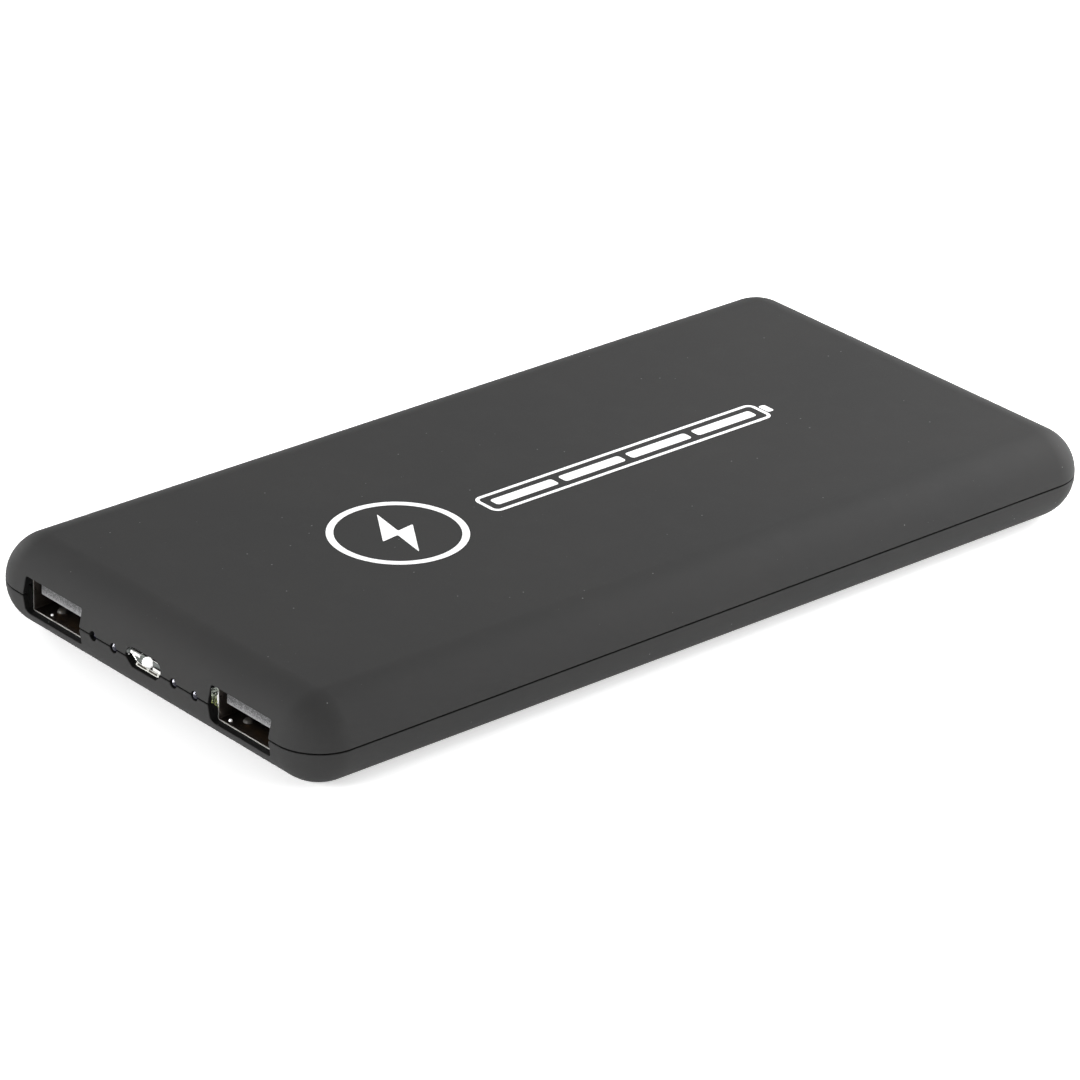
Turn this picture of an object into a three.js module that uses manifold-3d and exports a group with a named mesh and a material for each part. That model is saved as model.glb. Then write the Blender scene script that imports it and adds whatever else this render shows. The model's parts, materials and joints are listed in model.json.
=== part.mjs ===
// A slim pocket power bank, taken apart into its real pieces: two soft-touch half shells that
// snap together, a circuit board with two USB-A sockets, a micro-USB socket and four gauge
// lights at one end, two lithium-polymer cells behind it, and a small button in one long side.
//
// Millimetres. The body lies flat: X runs across its width, Y along its length with the sockets
// at the -Y end, and Z up. The origin is in the middle of the underside.

import * as THREE from 'three';
import { mergeVertices } from 'three/addons/utils/BufferGeometryUtils.js';
import Module from 'manifold-3d';

const wasm = await Module();
wasm.setup();

// ---------------------------------------------------------------------------------------------
// Driving dimensions
// ---------------------------------------------------------------------------------------------

const BODY_WIDTH = 75;
const BODY_LENGTH = 151.5;
const BODY_HEIGHT = 14;
const CORNER_RADIUS = 7.35; // seen from above
const EDGE_RADIUS = 6.95; // the half-round sides
const WALL = 1.5;

const SEAM_Z = BODY_HEIGHT / 2;
const SEAM_GAP = 0.2;
const SEAM_LOW = SEAM_Z - SEAM_GAP / 2;
const SEAM_HIGH = SEAM_Z + SEAM_GAP / 2;
const FLOOR_Z = WALL;
const CEILING_Z = BODY_HEIGHT - WALL;
const HALF_WIDTH = BODY_WIDTH / 2;
const FAR_END_Y = BODY_LENGTH / 2;
const PORT_END_Y = -BODY_LENGTH / 2;

// The lip on the bottom shell stands inside a step in the top shell.
const LIP_OUTER_INSET = 0.85;
const LIP_INNER_INSET = 1.6;
const LIP_TOP_Z = SEAM_Z + 1.1;
const STEP_INSET = 0.75;
const STEP_TOP_Z = LIP_TOP_Z + 0.25;

// Snap ridges along the lip: how long and how proud they are, and where they sit.
const SNAP_LENGTH = 8;
const SNAP_PROUD = 0.3;
const SNAP_LOW_Z = SEAM_Z + 0.45;
const SNAP_HIGH_Z = SEAM_Z + 0.85;
const SNAP_CLEARANCE = 0.1;
const SIDE_SNAP_Y = [-36, 6, 48];
const END_SNAP_X = [-18, 18];

const BOARD_BOTTOM_Z = 5;
const BOARD_TOP_Z = 6;
const BOARD_WIDTH = 66;
const BOARD_FRONT_Y = PORT_END_Y + 2.55;
const BOARD_BACK_Y = BOARD_FRONT_Y + 24.2;
const BOARD_CORNER = 3;

const SCREW_PLACES = [[-30.5, -53.5], [30.5, -53.5], [0, -61.5]];
const SCREW_HEAD_RADIUS = 1.8;
const SCREW_HEAD_HEIGHT = 1.2;
const SCREW_CORE_RADIUS = 0.65;
const SCREW_THREAD_RADIUS = 0.85;
const SCREW_THREADS = 5;
const SCREW_TIP_Z = 2.6;
const BOSS_RADIUS = 2.2;
const BOSS_BORE = 0.95;
const BOARD_HOLE = 1.1;

// USB-A sockets, sunk into notches in the board.
const USB_A_X = 21.55;
const USB_A_WIDTH = 13.1;
const USB_A_HEIGHT = 5.7;
const USB_A_DEPTH = 14;
const USB_A_SHEET = 0.3;
const USB_A_CORNER = 0.6;
const USB_A_Z = 6.97;
const USB_A_FRONT_Y = PORT_END_Y + 2;
const USB_A_BACK_Y = USB_A_FRONT_Y + USB_A_DEPTH;
const USB_A_SIDES = [['left', -1], ['right', 1]];
const USB_A_TAB_Y = [3.2, 7.2]; // behind the front of the sleeve
const USB_A_TAB_REACH = 1.4;
const USB_A_NOTCH_CLEARANCE = 0.25;
const USB_A_MOUTH_WIDTH = USB_A_WIDTH + 0.2; // the cut-outs in the shells
const USB_A_MOUTH_HEIGHT = USB_A_HEIGHT + 0.1;
const USB_A_MOUTH_CORNER = 0.7;
const MOUTH_DEPTH = 2.45; // every cut-out at this end goes through the wall and the lip
const TONGUE_WIDTH = 11.1;
const TONGUE_LOW_Z = 6.75;
const TONGUE_HIGH_Z = 8.6;
const TONGUE_FRONT_Y = USB_A_FRONT_Y + 0.6;
const INSULATOR_BLOCK_Y = USB_A_FRONT_Y + 9.25;
const USB_A_CONTACT_X = [-3.5, -1, 1, 3.5];
const USB_A_CONTACT_WIDTH = 1;

// The micro-USB socket stands on the board.
const MICRO_HALF_TOP = 3.75;
const MICRO_HALF_BOTTOM = 2.65;
const MICRO_HEIGHT = 2.5;
const MICRO_BEVEL = MICRO_HALF_TOP - MICRO_HALF_BOTTOM;
const MICRO_TOP_BEVEL = 0.5;
const MICRO_MOUTH_CLEARANCE = 0.35; // to the shells, all round
const MICRO_SHEET = 0.25;
const MICRO_FRONT_Y = PORT_END_Y + 0.55;
const MICRO_BACK_Y = PORT_END_Y + 5.75;
const MICRO_FLARE = 0.2;
const MICRO_CONTACT_PITCH = 0.65;

// Gauge lights, in pairs on both sides of the micro-USB socket.
const LIGHT_X = [-11.7, -6.9, 6.9, 11.7];
const LIGHT_HOLE_RADIUS = 0.75;
const LENS_RADIUS = 0.65;

// The button in the -X side, and the switch behind it.
const BUTTON_Y = -61;
const BUTTON_LENGTH = 12;
const BUTTON_HEIGHT = 3.4;
const BUTTON_CLEARANCE = 0.2;
const BUTTON_TRAVEL = 0.35;
const BUTTON_FLANGE_X = -35.3;
const BUTTON_FLANGE_SHEET = 0.8;
const SWITCH_FACE_X = -32.6;
const SWITCH_DEPTH = 3.5;
const SWITCH_WIDTH = 6;
const SWITCH_HEIGHT = 3.5;
const PLUNGER_TIP_X = SWITCH_FACE_X - 1;
const PLUNGER_LENGTH = 2;
const PLUNGER_Z = 7.7;
const PLUNGER_WIDTH = 2.6;
const PLUNGER_HEIGHT = 1.4;
const DOME_HEIGHT = 0.25;

// Two flat cells, one on the other, with foam above and below.
const CELL_WIDTH = 64;
const CELL_LENGTH = 112;
const CELL_THICKNESS = 4.7;
const CELL_CENTRE_Y = 13;
const CELL_EDGE = 1.2;
const CELL_GAP = 0.3;
const FOAM_THICKNESS = 0.6;
const LOWER_CELL_Z = FLOOR_Z + FOAM_THICKNESS;
const UPPER_CELL_Z = LOWER_CELL_Z + CELL_THICKNESS + CELL_GAP;
const CELL_FRONT_Y = CELL_CENTRE_Y - CELL_LENGTH / 2;
const CELL_SEAL_LENGTH = 4;
const CELL_SEAL_HALF_WIDTH = 30;
const CELL_SEAL_THICKNESS = 0.8;
const PAD_WIDTH = 54;
const PAD_LENGTH = 100;
const PAD_PLAY = 0.02; // left above and below every pad
const TAB_X = 12;
const TAB_WIDTH = 5;
const TAB_SHEET = 0.25;

// What the bottom shell holds up: shelves at the board's front corners, posts beside the
// micro-USB socket, and upright stops before and behind the cells.
const SHELF_X = [29, 33];
const SHELF_Y = [-70, -66];
const POST_X = 8;
const POST_WIDTH = 3;
const POST_Y = [-71, -68];
const CELL_BACK_Y = CELL_CENTRE_Y + CELL_LENGTH / 2;
const REAR_STOP_X = [-24, 24];
const REAR_STOP_Y = [CELL_BACK_Y + 0.6, CELL_BACK_Y + 1.8];
const REAR_STOP_HEIGHT = 4.5;
const FRONT_STOP_X = [-28, 28];
const FRONT_STOP_Y = [CELL_FRONT_Y - 5.6, CELL_FRONT_Y - 4.6];
const FRONT_STOP_HEIGHT = 3.6;
const RIB_HALF_LENGTH = 4.5; // the ribs that grip the USB-A sockets
const RIB_THICKNESS = 1.5;
const RIB_PLAY = 0.05;

// Parts soldered to the board.
const CHIP_X = [12, -12];
const CHIP_Y = -56.4;
const CHIP_LENGTH = 5;
const CHIP_WIDTH = 3.9;
const CHIP_HEIGHT = 1.5;
const CHIP_LEGS = 4;
const RESISTOR = { x: 8, y: -62, length: 3.2, width: 1.6, height: 0.6 };
const INDUCTOR = { y: -55, length: 7.4, width: 6.8, foot: 0.5, height: 3.8, edge: 0.4 };
const CAPACITOR = { x: 22, y: -53.6, foot: 6.4, footHeight: 0.5, radius: 3.1, waist: 2.8, height: 5.3 };

const ARC_STEPS = 4; // a three.js curve draws two chords of a quarter turn for each of these
const EDGE_STEPS = 8;
const FINGER_WIDTH = 1.5; // of the solder tabs that fix the sockets to the board

// ---------------------------------------------------------------------------------------------
// Shapes and solids
// ---------------------------------------------------------------------------------------------

function roundedRect(width, height, radius, x = 0, y = 0) {
  const right = width / 2 - radius;
  const top = height / 2 - radius;
  const shape = new THREE.Shape();
  shape.absarc(x + right, y + top, radius, 0, Math.PI / 2);
  shape.absarc(x - right, y + top, radius, Math.PI / 2, Math.PI);
  shape.absarc(x - right, y - top, radius, Math.PI, Math.PI * 1.5);
  shape.absarc(x + right, y - top, radius, Math.PI * 1.5, Math.PI * 2);
  return shape;
}

function outline(points) {
  return new THREE.Shape(points.map(([x, y]) => new THREE.Vector2(x, y)));
}

// A strip of sheet metal bent along a line of points, seen edge on.
function stripOutline(points, thickness) {
  const path = points.map(([x, y]) => new THREE.Vector2(x, y));
  const near = [];
  const far = [];
  path.forEach((point, i) => {
    const before = path[Math.max(i - 1, 0)];
    const after = path[Math.min(i + 1, path.length - 1)];
    const into = point.clone().sub(before).normalize();
    const outOf = after.clone().sub(point).normalize();
    const along = into.clone().add(outOf).normalize();
    const bend = i === 0 || i === path.length - 1 ? 1 : Math.sqrt((1 + into.dot(outOf)) / 2);
    const side = new THREE.Vector2(-along.y, along.x).multiplyScalar(thickness / 2 / bend);
    near.push(point.clone().add(side));
    far.unshift(point.clone().sub(side));
  });
  return new THREE.Shape([...near, ...far]);
}

function box([x0, x1], [y0, y1], [z0, z1]) {
  const geometry = new THREE.BoxGeometry(x1 - x0, y1 - y0, z1 - z0);
  return geometry.translate((x0 + x1) / 2, (y0 + y1) / 2, (z0 + z1) / 2);
}

function extrude(shape, depth) {
  return new THREE.ExtrudeGeometry(shape, { depth, bevelEnabled: false, curveSegments: ARC_STEPS });
}

// An outline in X and Y, carried up along Z.
function plate(shape, zLow, zHigh) {
  return extrude(shape, zHigh - zLow).translate(0, 0, zLow);
}

// An outline in X and Z, carried back along Y.
function alongY(shape, yLow, yHigh) {
  return extrude(shape, yHigh - yLow).rotateX(Math.PI / 2).translate(0, yHigh, 0);
}

// An outline in Y and Z, carried across along X.
function alongX(shape, xLow, xHigh) {
  return extrude(shape, xHigh - xLow).rotateX(Math.PI / 2).rotateZ(Math.PI / 2).translate(xLow, 0, 0);
}

function rodAlongY(radius, yLow, yHigh, x, z, sides = 16) {
  const geometry = new THREE.CylinderGeometry(radius, radius, yHigh - yLow, sides);
  return geometry.translate(x, (yLow + yHigh) / 2, z);
}

function rodAlongZ(radius, zLow, zHigh, x, y, sides = 16) {
  const geometry = new THREE.CylinderGeometry(radius, radius, zHigh - zLow, sides);
  return geometry.rotateX(Math.PI / 2).translate(x, y, (zLow + zHigh) / 2);
}

// A flat plate with rounded edges all round, lying on zLow.
function cushionedPlate(shape, thickness, edge, zLow, bevelSegments) {
  const geometry = new THREE.ExtrudeGeometry(shape, {
    depth: thickness - 2 * edge,
    bevelThickness: edge,
    bevelSize: edge,
    bevelSegments,
    curveSegments: ARC_STEPS,
  });
  return geometry.translate(0, 0, zLow + edge);
}

// The form of the whole body, drawn in on every side by inset.
function bodyForm(inset) {
  const plan = roundedRect(
    BODY_WIDTH - 2 * EDGE_RADIUS,
    BODY_LENGTH - 2 * EDGE_RADIUS,
    CORNER_RADIUS - EDGE_RADIUS,
  );
  return cushionedPlate(plan, BODY_HEIGHT - 2 * inset, EDGE_RADIUS - inset, inset, EDGE_STEPS);
}

// The plan of the body at the seam, drawn in by inset.
function seamPlan(inset) {
  return roundedRect(BODY_WIDTH - 2 * inset, BODY_LENGTH - 2 * inset, CORNER_RADIUS - inset);
}

function toSolid(geometry) {
  const bare = new THREE.BufferGeometry();
  bare.setAttribute('position', geometry.getAttribute('position'));
  bare.setIndex(geometry.getIndex());
  const merged = mergeVertices(bare, 1e-4);
  const vertProperties = Float32Array.from(merged.getAttribute('position').array);
  const triVerts = Uint32Array.from(merged.getIndex().array);
  return new wasm.Manifold(new wasm.Mesh({ numProp: 3, vertProperties, triVerts }));
}

function toGeometry(solid) {
  const mesh = solid.getMesh();
  const geometry = new THREE.BufferGeometry();
  geometry.setAttribute('position', new THREE.BufferAttribute(mesh.vertProperties, 3));
  geometry.setIndex(new THREE.BufferAttribute(mesh.triVerts, 1));
  geometry.computeVertexNormals();
  return geometry;
}

// The first geometry with the added ones joined on and then the cut ones taken away.
function carve(base, added = [], cut = []) {
  let solid = toSolid(base);
  for (const geometry of added) {
    solid = solid.add(toSolid(geometry));
  }
  for (const geometry of cut) {
    solid = solid.subtract(toSolid(geometry));
  }
  return toGeometry(solid);
}

// ---------------------------------------------------------------------------------------------
// Materials
// ---------------------------------------------------------------------------------------------

function material(color, roughness, metalness = 0) {
  return new THREE.MeshStandardMaterial({ color, roughness, metalness });
}

const FINISHES = {
  softTouch: material('#3b3b3c', 0.75),
  button: material('#2b2b2c', 0.55),
  tin: material('#c9c8c2', 0.3, 1),
  gold: material('#c79a4b', 0.3, 1),
  socketPlastic: material('#8d8e90', 0.6),
  blackPlastic: material('#1d1d1e', 0.6),
  board: material('#1f5a38', 0.5),
  clear: material('#d8dde2', 0.15),
  ledBody: material('#e6e4da', 0.5),
  pouch: material('#b3b6ba', 0.4, 0.6),
  nickel: material('#b9b8b0', 0.35, 1),
  foam: material('#2f3032', 0.95),
  ferrite: material('#4a4b4f', 0.8),
  aluminium: material('#c4c7ca', 0.35, 1),
  steel: material('#8e9094', 0.35, 1),
};

const group = new THREE.Group();

function addPart(name, geometry, finish) {
  const mesh = new THREE.Mesh(geometry, FINISHES[finish]);
  mesh.name = name;
  group.add(mesh);
}

// ---------------------------------------------------------------------------------------------
// The two half shells
// ---------------------------------------------------------------------------------------------

// The outline of the micro-USB socket seen from the front, grown on every side. All four corners
// are cut at 45 degrees, so growing the outline moves each corner along by this share of it.
const BEVEL_GROWTH = Math.SQRT2 - 1;

function microOutline(grow) {
  const low = BOARD_TOP_Z - grow;
  const high = BOARD_TOP_Z + MICRO_HEIGHT + grow;
  const shift = grow * BEVEL_GROWTH;
  const half = MICRO_HALF_TOP + grow;
  const right = [
    [MICRO_HALF_BOTTOM + shift, low],
    [half, BOARD_TOP_Z + MICRO_BEVEL - shift],
    [half, BOARD_TOP_Z + MICRO_HEIGHT - MICRO_TOP_BEVEL + shift],
    [MICRO_HALF_TOP - MICRO_TOP_BEVEL + shift, high],
  ];
  const left = right.map(([x, z]) => [-x, z]).reverse();
  return outline([...right, ...left]);
}

// Everything that opens through the shells: the socket mouths, the light holes and the button.
function shellOpenings() {
  const outside = PORT_END_Y - 1;
  const inside = PORT_END_Y + MOUTH_DEPTH;
  const mouths = USB_A_SIDES.map(([, side]) => {
    const mouth = roundedRect(
      USB_A_MOUTH_WIDTH,
      USB_A_MOUTH_HEIGHT,
      USB_A_MOUTH_CORNER,
      side * USB_A_X,
      USB_A_Z,
    );
    return alongY(mouth, outside, inside);
  });
  const lights = LIGHT_X.map((x) => rodAlongY(LIGHT_HOLE_RADIUS, outside, inside, x, SEAM_Z));
  const microMouth = alongY(microOutline(MICRO_MOUTH_CLEARANCE), outside, inside);
  const buttonHole = roundedRect(
    BUTTON_LENGTH + 2 * BUTTON_CLEARANCE,
    BUTTON_HEIGHT + 2 * BUTTON_CLEARANCE,
    BUTTON_HEIGHT / 2 + BUTTON_CLEARANCE,
    BUTTON_Y,
    SEAM_Z,
  );
  return [...mouths, ...lights, microMouth, alongX(buttonHole, -HALF_WIDTH - 1, -HALF_WIDTH + 2.3)];
}

// Ridges on the lip that snap into pockets in the top shell; the pockets are a little larger.
function snaps(clearance) {
  const half = SNAP_LENGTH / 2 + clearance;
  const z = [SNAP_LOW_Z - clearance, SNAP_HIGH_Z + clearance];
  const near = LIP_OUTER_INSET - SNAP_PROUD - clearance;
  const far = LIP_OUTER_INSET + 0.2;
  const onSides = [-1, 1].flatMap((side) => SIDE_SNAP_Y.map((y) => {
    const x = [side * (HALF_WIDTH - near), side * (HALF_WIDTH - far)].sort((a, b) => a - b);
    return box(x, [y - half, y + half], z);
  }));
  const onEnd = END_SNAP_X.map((x) => {
    return box([x - half, x + half], [FAR_END_Y - far, FAR_END_Y - near], z);
  });
  return [...onSides, ...onEnd];
}

// Short ribs that grip the USB-A sockets from below or above.
function socketRibs(z) {
  const ribY = [USB_A_FRONT_Y + 4, USB_A_FRONT_Y + 10];
  return USB_A_SIDES.flatMap(([, side]) => ribY.map((y) => {
    const x = [side * USB_A_X - RIB_HALF_LENGTH, side * USB_A_X + RIB_HALF_LENGTH];
    return box(x, [y, y + RIB_THICKNESS], z);
  }));
}

// The hollow body between two heights.
function hollowBody(zLow, zHigh) {
  const slab = box([-BODY_WIDTH, BODY_WIDTH], [-BODY_LENGTH, BODY_LENGTH], [zLow, zHigh]);
  return toSolid(bodyForm(0)).intersect(toSolid(slab)).subtract(toSolid(bodyForm(WALL)));
}

function makeBottomCover() {
  const lip = carve(
    plate(seamPlan(LIP_OUTER_INSET), SEAM_Z - 1, LIP_TOP_Z),
    [],
    [plate(seamPlan(LIP_INNER_INSET), SEAM_Z - 2, LIP_TOP_Z + 1)],
  );
  const rootZ = FLOOR_Z / 2;
  const bosses = SCREW_PLACES.map(([x, y]) => rodAlongZ(BOSS_RADIUS, rootZ, BOARD_BOTTOM_Z, x, y));
  const bores = SCREW_PLACES.map(([x, y]) => {
    return rodAlongZ(BOSS_BORE, SCREW_TIP_Z - 0.4, BOARD_BOTTOM_Z + 1, x, y, 12);
  });
  const shelves = [-1, 1].map((side) => {
    const x = SHELF_X.map((edge) => side * edge).sort((a, b) => a - b);
    return box(x, SHELF_Y, [rootZ, BOARD_BOTTOM_Z]);
  });
  const posts = [-POST_X, POST_X].map((x) => {
    return box([x - POST_WIDTH / 2, x + POST_WIDTH / 2], POST_Y, [rootZ, BOARD_BOTTOM_Z]);
  });
  const ribs = socketRibs([rootZ, USB_A_Z - USB_A_HEIGHT / 2 - RIB_PLAY]);
  const stops = [
    box(REAR_STOP_X, REAR_STOP_Y, [rootZ, REAR_STOP_HEIGHT]),
    box(FRONT_STOP_X, FRONT_STOP_Y, [rootZ, FRONT_STOP_HEIGHT]),
  ];
  let solid = hollowBody(-1, SEAM_LOW).add(toSolid(lip));
  for (const geometry of [...snaps(0), ...bosses, ...shelves, ...posts, ...ribs, ...stops]) {
    solid = solid.add(toSolid(geometry));
  }
  for (const geometry of [...bores, ...shellOpenings()]) {
    solid = solid.subtract(toSolid(geometry));
  }
  return toGeometry(solid);
}

function makeTopCover() {
  let solid = hollowBody(SEAM_HIGH, BODY_HEIGHT + 1)
    .subtract(toSolid(plate(seamPlan(STEP_INSET), SEAM_Z - 1, STEP_TOP_Z)));
  const rootZ = BODY_HEIGHT - WALL / 2;
  const ribs = socketRibs([USB_A_Z + USB_A_HEIGHT / 2 + RIB_PLAY, rootZ]);
  const stop = box(REAR_STOP_X, REAR_STOP_Y, [BODY_HEIGHT - REAR_STOP_HEIGHT, rootZ]);
  for (const geometry of [...ribs, stop]) {
    solid = solid.add(toSolid(geometry));
  }
  for (const geometry of [...snaps(SNAP_CLEARANCE), ...shellOpenings()]) {
    solid = solid.subtract(toSolid(geometry));
  }
  return toGeometry(solid);
}

addPart('bottom_cover', makeBottomCover(), 'softTouch');
addPart('top_cover', makeTopCover(), 'softTouch');

// ---------------------------------------------------------------------------------------------
// The button and its switch
// ---------------------------------------------------------------------------------------------

// The cap's face follows the rounded side of the body; a flange behind it keeps it in its hole.
function makeButton() {
  const capPlan = roundedRect(BUTTON_LENGTH, BUTTON_HEIGHT, BUTTON_HEIGHT / 2, BUTTON_Y, SEAM_Z);
  const cap = toSolid(alongX(capPlan, -HALF_WIDTH - 1, BUTTON_FLANGE_X + 0.3))
    .intersect(toSolid(bodyForm(0.08)));
  const flangeBack = BUTTON_FLANGE_X + BUTTON_FLANGE_SHEET;
  const flangePlan = roundedRect(BUTTON_LENGTH + 2.4, BUTTON_HEIGHT + 1.6, 1, BUTTON_Y, SEAM_Z);
  const flange = alongX(flangePlan, BUTTON_FLANGE_X, flangeBack);
  const stemStop = PLUNGER_TIP_X - 0.05;
  const stem = box(
    [flangeBack - 0.1, stemStop],
    [BUTTON_Y - 1.5, BUTTON_Y + 1.5],
    [PLUNGER_Z - 1.1, PLUNGER_Z + 1.1],
  );
  return toGeometry(cap.add(toSolid(flange)).add(toSolid(stem)));
}

const POCKET_DEPTH = PLUNGER_LENGTH - 1 + BUTTON_TRAVEL + DOME_HEIGHT;

function makeSwitchBody() {
  const body = box(
    [SWITCH_FACE_X, SWITCH_FACE_X + SWITCH_DEPTH],
    [BUTTON_Y - SWITCH_WIDTH / 2, BUTTON_Y + SWITCH_WIDTH / 2],
    [BOARD_TOP_Z, BOARD_TOP_Z + SWITCH_HEIGHT],
  );
  const pocket = box(
    [SWITCH_FACE_X - 1, SWITCH_FACE_X + POCKET_DEPTH],
    [BUTTON_Y - PLUNGER_WIDTH / 2 - 0.1, BUTTON_Y + PLUNGER_WIDTH / 2 + 0.1],
    [PLUNGER_Z - PLUNGER_HEIGHT / 2 - 0.1, PLUNGER_Z + PLUNGER_HEIGHT / 2 + 0.1],
  );
  return carve(body, [], [pocket]);
}

function makePlunger() {
  const plan = roundedRect(PLUNGER_WIDTH, PLUNGER_HEIGHT, 0.3, BUTTON_Y, PLUNGER_Z);
  return alongX(plan, PLUNGER_TIP_X, PLUNGER_TIP_X + PLUNGER_LENGTH);
}

// The springy disc at the bottom of the pocket, thicker in the middle than at its rim.
function makeSwitchDome() {
  const radius = PLUNGER_HEIGHT / 2;
  const rim = 0.08;
  const profile = [
    [0, 0],
    [radius, 0],
    [radius, rim],
    [radius * 0.6, DOME_HEIGHT * 0.8],
    [0, DOME_HEIGHT],
  ];
  const geometry = new THREE.LatheGeometry(profile.map(([r, h]) => new THREE.Vector2(r, h)), 16);
  return geometry.rotateZ(Math.PI / 2).translate(SWITCH_FACE_X + POCKET_DEPTH, BUTTON_Y, PLUNGER_Z);
}

addPart('power_button', makeButton(), 'button');
addPart('switch_body', makeSwitchBody(), 'blackPlastic');
addPart('switch_plunger', makePlunger(), 'socketPlastic');
addPart('switch_dome', makeSwitchDome(), 'nickel');

// ---------------------------------------------------------------------------------------------
// The circuit board, its screws and what is soldered to it
// ---------------------------------------------------------------------------------------------

function makeBoard() {
  const length = BOARD_BACK_Y - BOARD_FRONT_Y;
  const centreY = (BOARD_FRONT_Y + BOARD_BACK_Y) / 2;
  const plan = roundedRect(BOARD_WIDTH, length, BOARD_CORNER, 0, centreY);
  const half = USB_A_WIDTH / 2 + USB_A_NOTCH_CLEARANCE;
  const notches = USB_A_SIDES.map(([, side]) => box(
    [side * USB_A_X - half, side * USB_A_X + half],
    [BOARD_FRONT_Y - 5, USB_A_BACK_Y + USB_A_NOTCH_CLEARANCE],
    [BOARD_BOTTOM_Z - 1, BOARD_TOP_Z + 1],
  ));
  const holes = SCREW_PLACES.map(([x, y]) => {
    return rodAlongZ(BOARD_HOLE, BOARD_BOTTOM_Z - 1, BOARD_TOP_Z + 1, x, y, 12);
  });
  return carve(plate(plan, BOARD_BOTTOM_Z, BOARD_TOP_Z), [], [...notches, ...holes]);
}

// A pan-head screw with a cross in its head and a thread that ends in a short point.
function makeScrew(x, y) {
  const shankTop = BOARD_TOP_Z;
  const pitch = (BOARD_BOTTOM_Z - SCREW_TIP_Z) / (SCREW_THREADS + 1);
  const profile = [[0, SCREW_TIP_Z], [SCREW_CORE_RADIUS, SCREW_TIP_Z + pitch]];
  for (let i = 1; i <= SCREW_THREADS; i += 1) {
    const crest = SCREW_TIP_Z + pitch * (i + 0.5);
    profile.push([SCREW_THREAD_RADIUS, crest], [SCREW_CORE_RADIUS, crest + pitch / 2]);
  }
  const headTop = shankTop + SCREW_HEAD_HEIGHT;
  profile.push([SCREW_CORE_RADIUS, shankTop], [SCREW_HEAD_RADIUS, shankTop]);
  profile.push([SCREW_HEAD_RADIUS, shankTop + 0.6 * SCREW_HEAD_HEIGHT]);
  profile.push([0.6 * SCREW_HEAD_RADIUS, headTop], [0, headTop]);
  const points = profile.map(([r, z]) => new THREE.Vector2(r, z));
  const blank = new THREE.LatheGeometry(points, 12).rotateX(Math.PI / 2).translate(x, y, 0);
  const arm = 0.6 * SCREW_HEAD_RADIUS;
  const slotZ = [headTop - 0.6, headTop + 1];
  const slots = [
    box([x - arm, x + arm], [y - 0.25, y + 0.25], slotZ),
    box([x - 0.25, x + 0.25], [y - arm, y + arm], slotZ),
  ];
  return carve(blank, [], slots);
}

// A chip with a row of short legs along two of its sides.
function makeChip(x) {
  const base = BOARD_TOP_Z;
  const half = CHIP_LENGTH / 2;
  const halfAcross = CHIP_WIDTH / 2;
  const legReach = halfAcross + 0.9;
  const body = box(
    [x - half, x + half],
    [CHIP_Y - halfAcross, CHIP_Y + halfAcross],
    [base + 0.15, base + CHIP_HEIGHT],
  );
  const legs = Array.from({ length: CHIP_LEGS }, (_, i) => {
    const legX = x - half + (CHIP_LENGTH / CHIP_LEGS) * (i + 0.5);
    return box([legX - 0.2, legX + 0.2], [CHIP_Y - legReach, CHIP_Y + legReach], [base, base + 0.3]);
  });
  return carve(body, legs);
}

// A pressed ferrite block with soft edges on a slightly wider foot.
function makeInductor() {
  const { y, length, width, foot, height, edge } = INDUCTOR;
  const footPlan = roundedRect(length, width, 1.2, 0, y);
  const blockPlan = roundedRect(length - 2 * edge, width - 2 * edge, 1, 0, y);
  const block = cushionedPlate(blockPlan, height - edge / 2, edge, BOARD_TOP_Z + edge / 2, 2);
  return carve(block, [plate(footPlan, BOARD_TOP_Z, BOARD_TOP_Z + foot)]);
}

// A can capacitor on a square foot with a groove pressed round it.
function makeCapacitor(x) {
  const { y, foot, footHeight, radius, waist, height } = CAPACITOR;
  const footPlate = plate(roundedRect(foot, foot, 0.8, x, y), BOARD_TOP_Z, BOARD_TOP_Z + footHeight);
  const profile = [
    [0, 0],
    [radius, 0],
    [radius, 0.9],
    [waist, 1.15],
    [radius, 1.4],
    [radius, height - 0.3],
    [radius - 0.25, height],
    [0, height],
  ];
  const points = profile.map(([r, z]) => new THREE.Vector2(r, BOARD_TOP_Z + 0.4 + z));
  const can = new THREE.LatheGeometry(points, 20).rotateX(Math.PI / 2).translate(x, y, 0);
  return carve(can, [footPlate]);
}

function makeSenseResistor() {
  const { x, y, length, width, height } = RESISTOR;
  return box(
    [x - length / 2, x + length / 2],
    [y - width / 2, y + width / 2],
    [BOARD_TOP_Z, BOARD_TOP_Z + height],
  );
}

addPart('circuit_board', makeBoard(), 'board');
SCREW_PLACES.forEach(([x, y], i) => addPart(`board_screw_${i + 1}`, makeScrew(x, y), 'steel'));
addPart('power_chip', makeChip(CHIP_X[0]), 'blackPlastic');
addPart('control_chip', makeChip(CHIP_X[1]), 'blackPlastic');
addPart('sense_resistor', makeSenseResistor(), 'blackPlastic');
addPart('inductor', makeInductor(), 'ferrite');
[-CAPACITOR.x, CAPACITOR.x].forEach((x, i) => {
  addPart(`output_capacitor_${i + 1}`, makeCapacitor(x), 'aluminium');
});

// ---------------------------------------------------------------------------------------------
// USB-A sockets
// ---------------------------------------------------------------------------------------------

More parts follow.
